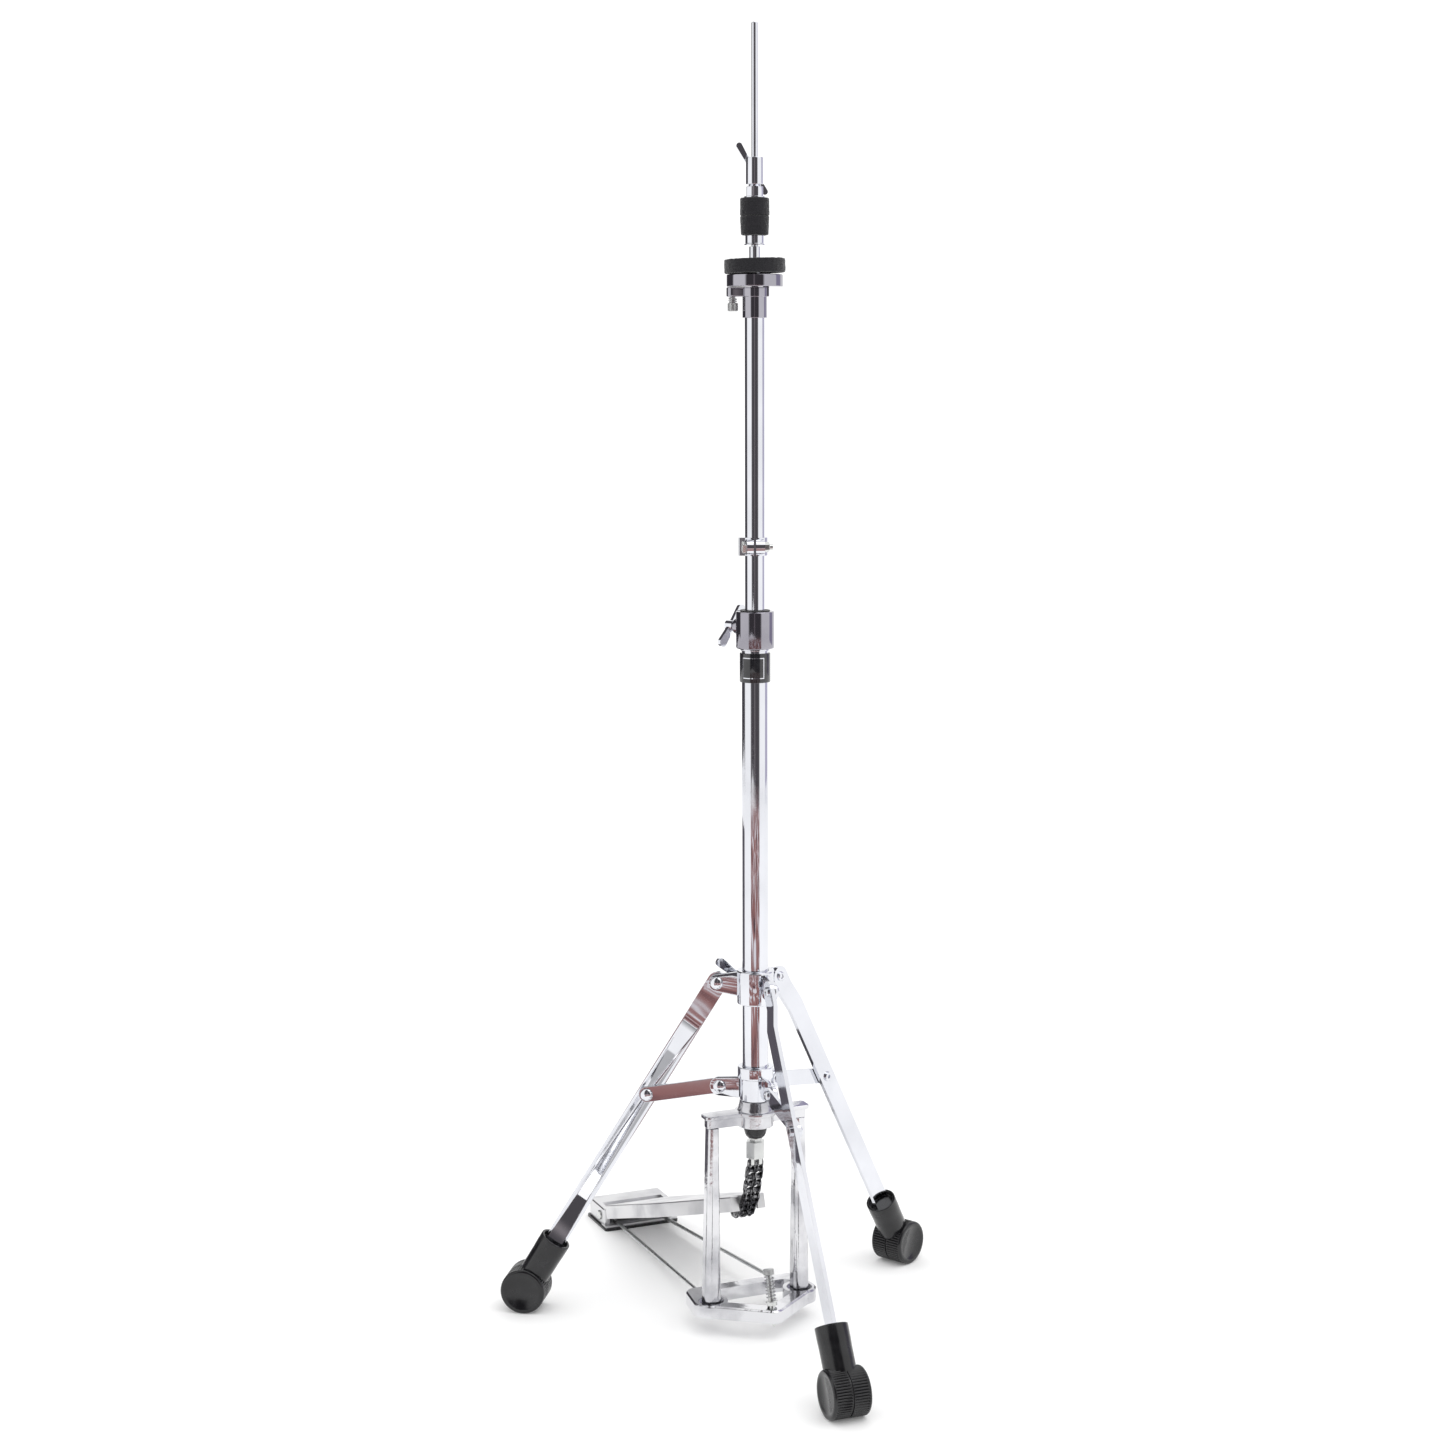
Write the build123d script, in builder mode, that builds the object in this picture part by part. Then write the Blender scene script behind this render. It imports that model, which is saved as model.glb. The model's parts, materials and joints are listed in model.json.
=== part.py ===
from build123d import *
import os
from math import atan2, cos, degrees, radians, sin

os.makedirs("parts", exist_ok=True)

# A hi-hat cymbal stand. Origin on the floor under the tube's axis, +Z up.
# The pedal's heel lies towards -Y and the two uprights of the pedal frame stand along X.

# ---------- driving dimensions, millimetres and degrees ----------
RUN_GAP = 0.05          # radial clearance of a running or sliding fit
LAYER_GAP = 0.3         # clearance between flat bars that pivot on each other

# main column
LOWER_TUBE_R = 12.7
LOWER_TUBE_BORE_R = 11.2
LOWER_TUBE_BOTTOM = 207.0
LOWER_TUBE_TOP = 684.0
UPPER_TUBE_R = 9.525
UPPER_TUBE_BORE_R = 8.3
UPPER_TUBE_BOTTOM = 560.0
UPPER_TUBE_TOP = 998.0
ROD_R = 3.0
ROD_TOP = 1250.0

# pedal frame
BASE_BOTTOM = 18.0
BASE_TOP = 31.0
BASE_APEX_Y = 50.0
BASE_SIDE_X = 66.0
BASE_REAR_Y = -40.0
UPRIGHT_X = 47.5
UPRIGHT_SOCKET_R = 12.5
UPRIGHT_SOCKET_FLOOR = 28.0
YOKE_TOP = 219.0
YOKE_PLATE = 4.0
YOKE_BEAM_BOTTOM = 206.0
HUB_R = 17.7
HUB_BOTTOM = 203.0
HUB_BOSS_R = 15.4
HUB_BOSS_TOP = 229.0

# tripod
TRIPOD_TURN = -3.0
LEG_AZIMUTHS = [90 + TRIPOD_TURN, 210 + TRIPOD_TURN, 330 + TRIPOD_TURN]
COLLAR_R = 18.0
COLLAR_BOTTOM = 325.5
COLLAR_TOP = 358.5
LEG_PIVOT_R = 37.0
LEG_PIVOT_Z = 345.0
LEG_ANGLE = 31.4
LEG_LENGTH = 377.8
LEG_WIDTH = 20.0
LEG_THICK = 4.0
LEG_RIVET_AT = 136.3
JOGGLE_START = 17.0
JOGGLE_END = 38.0
RING_R = 17.6
RING_NARROW_R = 15.6
RING_BOTTOM = 229.5
RING_STEP = 251.5
RING_TOP = 263.0
BRACE_PIVOT_R = 34.4
BRACE_PIVOT_Z = 242.0
BRACE_WIDTH = 15.5
BRACE_THICK = 3.4
EAR_THICK = 4.0
RIVET_R = 3.2
RIVET_HEAD_R = 6.3
RIVET_HEAD_H = 3.4
RIVET_HEAD_ROUND = 3.2
FOOT_R = 22.5
FOOT_WIDTH = 37.0
FOOT_SLEEVE_R = 15.5
FOOT_SLEEVE_LENGTH = 60.0

# height clamp and memory lock
CLAMP_R = 18.2
CLAMP_BOTTOM = 671.5
CLAMP_TOP = 707.0
LABEL_SLEEVE_R = 14.7
LABEL_SLEEVE_BOTTOM = 639.5
LABEL_SLEEVE_TOP = 667.5
LOCK_BOTTOM = 760.0
LOCK_TOP = 777.0
LOCK_R = 12.6

# lower cymbal seat and its tilter
SLEEVE_R = 11.6
SLEEVE_BOTTOM = 981.5
NECK_R = 12.3
NECK_BOTTOM = 1001.0
NECK_TOP = 1009.7
SEAT_R = 26.5
SEAT_BOTTOM = 1010.0
SEAT_TOP = 1021.3
FELT_R = 28.5
FELT_BOTTOM = 1022.6
FELT_TOP = 1036.0
STEM_R = 5.2
STEM_BORE_R = 4.3
STEM_TOP = 1047.0
TILTER_AZIMUTH = 336.0
TILTER_REACH = 20.5

# clutch
CLUTCH_R = 8.25
CLUTCH_BOTTOM = 1103.5
CLUTCH_TOP = 1128.3
CLUTCH_TUBE_R = 6.0
CLUTCH_FELT_R = 13.7
CLUTCH_FELT_BOTTOM = 1057.2
CLUTCH_FELT_MIDDLE = 1075.0
CLUTCH_FELT_TOP = 1091.5
BOTTOM_NUT_Z = 1048.2

# footboard, heel plate and chain
HINGE_Y = -329.5
HINGE_Z = 12.0
HINGE_PIN_R = 3.0
BOARD_SLOPE = 18.5
BOARD_LENGTH = 329.0
BOARD_TOP = 9.8
BOARD_SKIRT_BOTTOM = -5.0
BOARD_PLATE = 3.5
BOARD_WALL = 3.0
HEEL_FRONT_Y = -316.0
HEEL_BACK_Y = -363.0
HEEL_HALF_WIDTH = 41.0
HEEL_TOP = 22.0
PAD_THICK = 3.0
CHAIN_PITCH = 8.0
CHAIN_LEAN = 16.5
CHAIN_TOP_Z = 165.0
CHAIN_UPPER_LINKS = 5
CHAIN_LOWER_LEANS = [34.0, 36.0, 32.0, 58.0, 86.0]
CHAIN_PIN_R = 1.1
STRAND_X = 4.2
COUPLER_BOTTOM = 170.5
COUPLER_TOP = 187.0


def write(builder, label):
    """Name one finished piece and write its STEP file."""
    builder.part.label = label
    export_step(builder.part, f"parts/{label}.step")


def around(radius, azimuth, height):
    """A point at a radius, azimuth and height about the column."""
    angle = radians(azimuth)
    return Vector(radius * cos(angle), radius * sin(angle), height)


def radial_plane(azimuth, tangent=0.0):
    """Upright plane through the column: local x is outward, local y is up.
    It stands off anticlockwise by tangent, and its normal points clockwise."""
    outward = around(1, azimuth, 0)
    anticlockwise = around(1, azimuth + 90, 0)
    return Plane(origin=anticlockwise * tangent, x_dir=outward, z_dir=-anticlockwise)


def outward_plane(azimuth, radius, height):
    """Plane facing outward at a radius, with local y up."""
    outward = around(1, azimuth, 0)
    origin = around(radius, azimuth, height)
    return Plane(origin=origin, x_dir=around(1, azimuth + 90, 0), z_dir=outward)


def half_section(*outline):
    """A closed outline of (radius, height) points, ready to revolve about the column."""
    with BuildSketch(Plane.XZ) as section:
        with BuildLine():
            Polyline(*outline, close=True)
        make_face()
    return section.sketch


# ================= pedal frame =================

def base_outline(inset, corner):
    """Outline of the base: a blunt point in front and a straight rear bar, with rounded corners."""
    side_y = 4.0
    rear_x = 60.0
    slope = (BASE_APEX_Y - side_y) / BASE_SIDE_X
    apex_y = BASE_APEX_Y + 4.0 - inset * (1 + slope ** 2) ** 0.5
    side_x = BASE_SIDE_X - inset
    rear_y = BASE_REAR_Y + inset
    with BuildSketch(Plane.XY.offset(BASE_BOTTOM)) as outline:
        with BuildLine():
            Polyline(
                (0, apex_y), (side_x, side_y - inset * 0.3), (rear_x - inset, rear_y),
                (inset - rear_x, rear_y), (-side_x, side_y - inset * 0.3), close=True,
            )
        make_face()
        fillet(outline.vertices(), radius=corner)
    return outline.sketch


BASE_RIM = 15.0
ROD_HOLE_X = 43.0
ROD_HOLE_Y = -30.0
ROD_HOLE_Z = 24.6
WIRE_R = 2.0
WIRE_HEEL_X = 27.0
WIRE_HEEL_Z = PAD_THICK + WIRE_R + 1.6
SPUR_TILT = 15.0
SPUR_Y = 40.0
SPUR_R = 3.0
spur_plane = Plane(origin=(0, SPUR_Y, BASE_TOP), x_dir=(1, 0, 0)).rotated((SPUR_TILT, 0, 0))

with BuildPart() as base_plate:
    extrude(base_outline(0, corner=11), amount=BASE_TOP - BASE_BOTTOM)
    extrude(base_outline(BASE_RIM, corner=8), amount=BASE_TOP - BASE_BOTTOM, mode=Mode.SUBTRACT)
    with BuildSketch(Plane.XY.offset(BASE_BOTTOM)):
        with Locations((UPRIGHT_X, 0), (-UPRIGHT_X, 0)):
            Circle(UPRIGHT_SOCKET_R + 4)
    extrude(amount=BASE_TOP - BASE_BOTTOM)
    chamfer(base_plate.faces().sort_by(Axis.Z)[-1].outer_wire().edges(), length=1.6)
    with BuildSketch(Plane.XY.offset(BASE_TOP)):
        with Locations((UPRIGHT_X, 0), (-UPRIGHT_X, 0)):
            Circle(UPRIGHT_SOCKET_R)
    extrude(amount=UPRIGHT_SOCKET_FLOOR - BASE_TOP, mode=Mode.SUBTRACT)
    for side in (1, -1):
        rod_start = Vector(side * ROD_HOLE_X, ROD_HOLE_Y, ROD_HOLE_Z)
        rod_end = Vector(side * WIRE_HEEL_X, HEEL_FRONT_Y + 11, WIRE_HEEL_Z)
        with BuildSketch(Plane(origin=rod_start, z_dir=rod_end - rod_start)):
            Circle(WIRE_R)
        extrude(amount=30, mode=Mode.SUBTRACT)
    with BuildSketch(spur_plane):
        Circle(SPUR_R + RUN_GAP)
    extrude(amount=30, both=True, mode=Mode.SUBTRACT)
write(base_plate, "base_plate")

UPRIGHT_FOOT = (17.0, 17.5)
UPRIGHT_HEAD = (11.0, 14.0)
UPRIGHT_HEAD_X = 46.0
with BuildPart() as uprights:
    for side in (1, -1):
        with BuildSketch(Plane.XY.offset(UPRIGHT_SOCKET_FLOOR)):
            with Locations((side * UPRIGHT_X, 0)):
                RectangleRounded(*UPRIGHT_FOOT, radius=6)
        with BuildSketch(Plane.XY.offset(YOKE_BEAM_BOTTOM)):
            with Locations((side * UPRIGHT_HEAD_X, 0)):
                RectangleRounded(*UPRIGHT_HEAD, radius=4)
        loft()
write(uprights, "uprights")

YOKE_HALF_LENGTH = 55.0
GUIDE_BORE_R = 8.0
with BuildPart() as frame_hub:
    with BuildSketch(Plane.XY.offset(YOKE_TOP - YOKE_PLATE)):
        RectangleRounded(2 * YOKE_HALF_LENGTH, 18, radius=4)
        Circle(HUB_R + 3)
    extrude(amount=YOKE_PLATE)
    with BuildSketch(Plane.XY.offset(YOKE_BEAM_BOTTOM)):
        RectangleRounded(2 * (UPRIGHT_HEAD_X + 6.5), 12, radius=3)
    extrude(amount=YOKE_TOP - YOKE_PLATE - YOKE_BEAM_BOTTOM)
    hub_section = half_section(
        (0, HUB_BOTTOM), (HUB_R, HUB_BOTTOM), (HUB_R, YOKE_TOP), (HUB_BOSS_R, HUB_BOSS_TOP), (0, HUB_BOSS_TOP),
    )
    revolve(hub_section, axis=Axis.Z)
    with BuildSketch(Plane.XY.offset(LOWER_TUBE_BOTTOM)):
        Circle(LOWER_TUBE_R)
    extrude(amount=40, mode=Mode.SUBTRACT)
    with BuildSketch(Plane.XY.offset(HUB_BOTTOM)):
        Circle(GUIDE_BORE_R)
    extrude(amount=20, mode=Mode.SUBTRACT)
write(frame_hub, "frame_hub")

with BuildPart() as lower_tube:
    with BuildSketch(Plane.XY.offset(LOWER_TUBE_BOTTOM)):
        Circle(LOWER_TUBE_R)
        Circle(LOWER_TUBE_BORE_R, mode=Mode.SUBTRACT)
    extrude(amount=LOWER_TUBE_TOP - LOWER_TUBE_BOTTOM)
write(lower_tube, "lower_tube")

BUSH_TOP = 224.0
with BuildPart() as rod_guide_bush:
    bush_section = half_section(
        (ROD_R + RUN_GAP, HUB_BOTTOM + 0.5), (GUIDE_BORE_R, HUB_BOTTOM + 0.5), (GUIDE_BORE_R, LOWER_TUBE_BOTTOM),
        (LOWER_TUBE_BORE_R, LOWER_TUBE_BOTTOM), (LOWER_TUBE_BORE_R, BUSH_TOP), (ROD_R + RUN_GAP, BUSH_TOP),
    )
    revolve(bush_section, axis=Axis.Z)
write(rod_guide_bush, "rod_guide_bush")

SPRING_TOP = 318.0
SPRING_WIRE_R = 0.9
SPRING_COIL_R = 7.2
SPRING_HALF_HEIGHT = (SPRING_TOP - BUSH_TOP - 2 * SPRING_WIRE_R - 0.4) / 2
SPRING_PITCH = SPRING_HALF_HEIGHT / 6
with BuildPart() as return_spring:
    for half in (0, 1):
        with BuildLine():
            coil = Helix(pitch=SPRING_PITCH, height=SPRING_HALF_HEIGHT, radius=SPRING_COIL_R,
                         center=(0, 0, BUSH_TOP + SPRING_WIRE_R + 0.2 + half * SPRING_HALF_HEIGHT))
        with BuildSketch(Plane(origin=coil @ 0, z_dir=coil % 0)):
            Circle(SPRING_WIRE_R)
        sweep()
write(return_spring, "return_spring")

# ================= wire radius rods, heel plate and spur =================
with BuildPart() as radius_rods:
    for side in (1, -1):
        with BuildLine():
            path = FilletPolyline(
                (side * ROD_HOLE_X, ROD_HOLE_Y, ROD_HOLE_Z),
                (side * WIRE_HEEL_X, HEEL_FRONT_Y + 11, WIRE_HEEL_Z),
                (side * WIRE_HEEL_X, HEEL_FRONT_Y - 6, WIRE_HEEL_Z),
                radius=5,
            )
        with BuildSketch(Plane(origin=path @ 0, z_dir=path % 0)):
            Circle(WIRE_R)
        sweep()
write(radius_rods, "radius_rods")

POCKET_HALF = 34.5
POCKET_BACK_Y = -339.0
HEEL_FLOOR = 5.4
with BuildPart() as heel_plate:
    heel_middle_y = (HEEL_FRONT_Y + HEEL_BACK_Y) / 2
    with BuildSketch(Plane.XY.offset(PAD_THICK)):
        with Locations((0, heel_middle_y)):
            RectangleRounded(2 * HEEL_HALF_WIDTH, HEEL_FRONT_Y - HEEL_BACK_Y, radius=3)
    extrude(amount=HEEL_TOP - PAD_THICK)
    fillet(heel_plate.faces().sort_by(Axis.Z)[-1].edges(), radius=1.5)
    with BuildSketch(Plane.XY.offset(HEEL_FLOOR)):
        with Locations((0, (POCKET_BACK_Y + HEEL_FRONT_Y + 10) / 2)):
            Rectangle(2 * POCKET_HALF, HEEL_FRONT_Y + 10 - POCKET_BACK_Y)
    extrude(amount=HEEL_TOP, mode=Mode.SUBTRACT)
    with BuildSketch(Plane.XY.offset(PAD_THICK)):
        with Locations((0, HEEL_FRONT_Y + 1)):
            Rectangle(2 * HEEL_HALF_WIDTH + 2, 14)
    extrude(amount=HEEL_FLOOR - PAD_THICK)
    with BuildSketch(Plane.XZ.offset(-HEEL_FRONT_Y - 12)):
        with Locations((WIRE_HEEL_X, WIRE_HEEL_Z), (-WIRE_HEEL_X, WIRE_HEEL_Z)):
            Circle(WIRE_R + 0.1)
            Rectangle(2 * WIRE_R + 0.2, 8, align=(Align.CENTER, Align.MIN))
    extrude(amount=24, both=True, mode=Mode.SUBTRACT)
    with BuildSketch(Plane.YZ.offset(-HEEL_HALF_WIDTH - 5)):
        with Locations((HINGE_Y, HINGE_Z)):
            Circle(HINGE_PIN_R)
    extrude(amount=2 * HEEL_HALF_WIDTH + 10, mode=Mode.SUBTRACT)
write(heel_plate, "heel_plate")

with BuildPart() as heel_pad:
    with BuildSketch():
        with Locations((0, (HEEL_BACK_Y + HEEL_FRONT_Y + 9) / 2 - 1)):
            RectangleRounded(2 * HEEL_HALF_WIDTH + 4, HEEL_FRONT_Y + 9 - HEEL_BACK_Y + 4, radius=4)
    extrude(amount=PAD_THICK)
write(heel_pad, "heel_pad")

with BuildPart() as heel_hinge_pin:
    with BuildSketch(Plane.YZ.offset(-HEEL_HALF_WIDTH)):
        with Locations((HINGE_Y, HINGE_Z)):
            Circle(HINGE_PIN_R)
    extrude(amount=2 * HEEL_HALF_WIDTH)
    for side in (1, -1):
        with BuildSketch(Plane.YZ.offset(side * HEEL_HALF_WIDTH)):
            with Locations((HINGE_Y, HINGE_Z)):
                Circle(5)
        extrude(amount=side * 1.8)
    chamfer(heel_hinge_pin.edges().filter_by(GeomType.CIRCLE).group_by(Axis.X)[0], length=0.8)
    chamfer(heel_hinge_pin.edges().filter_by(GeomType.CIRCLE).group_by(Axis.X)[-1], length=0.8)
write(heel_hinge_pin, "heel_hinge_pin")

SPUR_HEAD_AT = 31.0
SPUR_NUT_BOTTOM = 1.6
SPUR_NUT_H = 5.0
with BuildPart() as spur_screw:
    with BuildSketch(spur_plane.offset(-15)):
        Circle(SPUR_R)
    extrude(amount=15 + SPUR_HEAD_AT)
    with BuildSketch(spur_plane.offset(-15)):
        Circle(SPUR_R)
    extrude(amount=-4, taper=30)
    with BuildSketch(spur_plane.offset(SPUR_HEAD_AT)):
        Circle(5.5)
    extrude(amount=6)
    chamfer(spur_screw.faces().sort_by(Axis.Z)[-1].edges(), length=0.8)
write(spur_screw, "spur_screw")

with BuildPart() as spur_nut:
    with BuildSketch(spur_plane.offset(SPUR_NUT_BOTTOM)):
        RegularPolygon(radius=5.4, side_count=6)
        Circle(SPUR_R + RUN_GAP, mode=Mode.SUBTRACT)
    extrude(amount=SPUR_NUT_H - SPUR_NUT_BOTTOM)
    with BuildSketch(spur_plane.offset(SPUR_NUT_H)):
        Circle(6)
        Circle(SPUR_R + RUN_GAP, mode=Mode.SUBTRACT)
    extrude(amount=1.4)
write(spur_nut, "spur_nut")

SPUR_SPRING_R = 4.2
with BuildPart() as spur_spring:
    with BuildLine():
        spur_coil = Helix(pitch=3.3, height=SPUR_HEAD_AT - SPUR_NUT_H - 1.4 - 1.8, radius=SPUR_SPRING_R,
                          center=spur_plane.offset(SPUR_NUT_H + 1.4 + 0.9).origin, direction=spur_plane.z_dir)
    with BuildSketch(Plane(origin=spur_coil @ 0, z_dir=spur_coil % 0)):
        Circle(0.7)
    sweep()
write(spur_spring, "spur_spring")

# ================= footboard =================
board_side = Plane(origin=(0, HINGE_Y, HINGE_Z), x_dir=(0, cos(radians(BOARD_SLOPE)), sin(radians(BOARD_SLOPE))),
                   z_dir=(1, 0, 0))
board_top_plane = Plane(origin=board_side.from_local_coords((0, BOARD_TOP, 0)), x_dir=(1, 0, 0),
                        z_dir=board_side.y_dir)
BOARD_START = 18.0
BOARD_HEEL_HALF = 40.0
BOARD_WIDEST_HALF = 43.0
BOARD_WIDEST_AT = 140.0
BOARD_TOE_HALF = 18.0
BARREL_R = 6.0


def board_outline(plane, inset):
    """Plan outline of the footboard, from the heel to the toe, all round smaller by inset."""
    heel = BOARD_START + inset
    toe = BOARD_LENGTH - inset
    waist = BOARD_WIDEST_AT - 45
    half_heel = BOARD_HEEL_HALF - inset
    half_wide = BOARD_WIDEST_HALF - inset
    half_toe = BOARD_TOE_HALF - inset
    with BuildSketch(plane) as outline:
        with BuildLine():
            Polyline((-half_heel, waist), (-half_heel, heel), (half_heel, heel), (half_heel, waist))
            Spline((half_heel, waist), (half_wide, BOARD_WIDEST_AT), (half_toe, toe), tangents=((0, 1), (-0.12, 1)))
            Line((half_toe, toe), (-half_toe, toe))
            Spline((-half_heel, waist), (-half_wide, BOARD_WIDEST_AT), (-half_toe, toe), tangents=((0, 1), (0.12, 1)))
        make_face()
    return outline.sketch


NOTCH_HALF = 10.0
NOTCH_DEPTH = 13.0
with BuildPart() as footboard:
    extrude(board_outline(board_top_plane, 0), amount=BOARD_SKIRT_BOTTOM - BOARD_TOP)
    board_up = Axis(board_top_plane.origin, board_top_plane.z_dir)
    fillet(footboard.faces().sort_by(board_up)[-1].edges(), radius=1.4)
    extrude(board_outline(board_top_plane.offset(-BOARD_PLATE), BOARD_WALL), amount=BOARD_SKIRT_BOTTOM - BOARD_TOP,
            mode=Mode.SUBTRACT)
    with BuildSketch(board_side.offset(-POCKET_HALF + 1)):
        Circle(BARREL_R)
        with Locations((BOARD_START / 2 + 2, 2)):
            Rectangle(BOARD_START + 4, 7)
    extrude(amount=2 * POCKET_HALF - 2)
    with BuildSketch(board_side.offset(-50)):
        Circle(HINGE_PIN_R + RUN_GAP)
    extrude(amount=100, mode=Mode.SUBTRACT)
    with BuildSketch(board_top_plane.offset(2)):
        with Locations((0, BOARD_LENGTH)):
            Rectangle(2 * NOTCH_HALF, 2 * NOTCH_DEPTH)
    extrude(amount=-30, mode=Mode.SUBTRACT)
write(footboard, "footboard")

# ================= pull rod and chain =================


def chain_step(start, lean):
    """The next pin of the chain, one pitch on, at a lean from straight down towards the heel."""
    angle = radians(lean)
    return (start[0] - CHAIN_PITCH * sin(angle), start[1] - CHAIN_PITCH * cos(angle))


upper_pins = [(0.0, CHAIN_TOP_Z)]
for _ in range(CHAIN_UPPER_LINKS):
    upper_pins.append(chain_step(upper_pins[-1], CHAIN_LEAN))
lower_pins = [upper_pins[-1]]
for lean in CHAIN_LOWER_LEANS:
    lower_pins.append(chain_step(lower_pins[-1], lean))

PLATE_THICK = 0.9
PLATE_HEIGHT = 7.0
ROLLER_R = 2.5
ROLLER_HALF = 1.8
OUTER_PLATES = [-8.1, -0.45, 7.2]
INNER_PLATES = [-7.15, -2.15, 1.25, 6.25]


def chain_run(pins, inner_first, pin_range, roller_range):
    """A run of duplex chain: plates on every link, and pins and rollers at the numbered joints."""
    with BuildPart() as run:
        inner = inner_first
        for start, end in zip(pins, pins[1:]):
            middle = ((start[0] + end[0]) / 2, (start[1] + end[1]) / 2)
            slope = degrees(atan2(end[1] - start[1], end[0] - start[0]))
            for left in INNER_PLATES if inner else OUTER_PLATES:
                with BuildSketch(Plane.YZ.offset(left)):
                    with Locations(Location((middle[0], middle[1], 0), (0, 0, slope))):
                        SlotCenterToCenter(CHAIN_PITCH, PLATE_HEIGHT)
                extrude(amount=PLATE_THICK)
            inner = not inner
        for number in pin_range:
            with BuildSketch(Plane.YZ.offset(-8.6)):
                with Locations(pins[number]):
                    Circle(CHAIN_PIN_R)
            extrude(amount=17.2)
        for number in roller_range:
            for strand in (STRAND_X, -STRAND_X):
                with BuildSketch(Plane.YZ.offset(strand - ROLLER_HALF)):
                    with Locations(pins[number]):
                        Circle(ROLLER_R)
                extrude(amount=2 * ROLLER_HALF)
    return run


TOP_PIN_GAP = 0.08
OPEN_PIVOT_GAP = 1.3
upper_joints = range(1, CHAIN_UPPER_LINKS)
chain_upper = chain_run(upper_pins, True, upper_joints, upper_joints)
with BuildPart() as pin_space:
    with BuildSketch(Plane.YZ.offset(-10)):
        with Locations(upper_pins[0]):
            Circle(CHAIN_PIN_R + TOP_PIN_GAP)
        with Locations(upper_pins[-1]):
            Circle(CHAIN_PIN_R + OPEN_PIVOT_GAP)
    extrude(amount=20)
chain_upper.part = chain_upper.part - pin_space.part
write(chain_upper, "chain_upper")

chain_lower = chain_run(lower_pins, False, range(len(lower_pins)), range(len(lower_pins) - 1))
write(chain_lower, "chain_lower")

TONGUE = (2.4, 6.0)
with BuildPart() as rod_coupler:
    with BuildSketch(Plane.XY.offset(COUPLER_BOTTOM)):
        RegularPolygon(radius=9.75, side_count=6)
    extrude(amount=COUPLER_TOP - COUPLER_BOTTOM)
    with BuildSketch(Plane.XY.offset(COUPLER_TOP)):
        RegularPolygon(radius=6.0, side_count=6)
    extrude(amount=3)
    with BuildSketch(Plane.XY.offset(COUPLER_TOP + 3)):
        Circle(7)
    extrude(amount=1)
    with BuildSketch(Plane.XY.offset(COUPLER_TOP - 12)):
        Circle(ROD_R)
    extrude(amount=20, mode=Mode.SUBTRACT)
    for side in (1, -1):
        with BuildSketch(Plane.YZ.offset(side * TONGUE[0])):
            with Locations((0, CHAIN_TOP_Z)):
                Circle(3.2)
                Rectangle(6.4, COUPLER_BOTTOM - CHAIN_TOP_Z + 1, align=(Align.CENTER, Align.MIN))
        extrude(amount=side * (TONGUE[1] - TONGUE[0]))
    with BuildSketch(Plane.YZ.offset(-8.0)):
        with Locations((0, CHAIN_TOP_Z)):
            Circle(CHAIN_PIN_R)
    extrude(amount=16)
write(rod_coupler, "rod_coupler")

BUMPER_BOTTOM = COUPLER_TOP + 4
BUMPER_TOP = HUB_BOTTOM - 0.3
with BuildPart() as rubber_bumper:
    with BuildSketch(Plane.XZ):
        with BuildLine():
            Polyline((ROD_R, BUMPER_BOTTOM), (7.5, BUMPER_BOTTOM))
            ThreePointArc((7.5, BUMPER_BOTTOM), (10.6, BUMPER_BOTTOM + 4.6), (11.6, BUMPER_TOP))
            Polyline((11.6, BUMPER_TOP), (ROD_R, BUMPER_TOP), (ROD_R, BUMPER_BOTTOM))
        make_face()
    revolve(axis=Axis.Z)
write(rubber_bumper, "rubber_bumper")

with BuildPart() as pull_rod:
    with BuildSketch(Plane.XY.offset(COUPLER_TOP - 12)):
        Circle(ROD_R)
    extrude(amount=ROD_TOP - COUPLER_TOP + 12)
    chamfer(pull_rod.faces().sort_by(Axis.Z)[-1].edges(), length=0.8)
write(pull_rod, "pull_rod")

with BuildPart() as spring_stop:
    spring_stop_section = half_section(
        (ROD_R, SPRING_TOP), (9.5, SPRING_TOP), (9.5, SPRING_TOP + 2), (6, SPRING_TOP + 3), (6, SPRING_TOP + 9),
        (ROD_R, SPRING_TOP + 9),
    )
    revolve(spring_stop_section, axis=Axis.Z)
write(spring_stop, "spring_stop")

with BuildPart() as toe_clamp:
    pin_local = board_side.to_local_coords(Vector(0, *lower_pins[-1]))
    with BuildSketch(board_side.offset(-12)):
        with Locations((pin_local.X, -2.4)):
            Rectangle(12, BOARD_TOP - BOARD_PLATE + 2.4, align=(Align.CENTER, Align.MIN))
    extrude(amount=24)
    for side in (1, -1):
        with BuildSketch(board_side.offset(side * 0.8)):
            with Locations((pin_local.X, pin_local.Y)):
                Circle(3.3)
                Rectangle(6.6, -pin_local.Y, align=(Align.CENTER, Align.MIN))
        extrude(amount=side * 6.0)
    with BuildSketch(board_side.offset(-10)):
        with Locations((pin_local.X, pin_local.Y)):
            Circle(CHAIN_PIN_R)
    extrude(amount=20, mode=Mode.SUBTRACT)
write(toe_clamp, "toe_clamp")

# ================= wing screws =================

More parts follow.
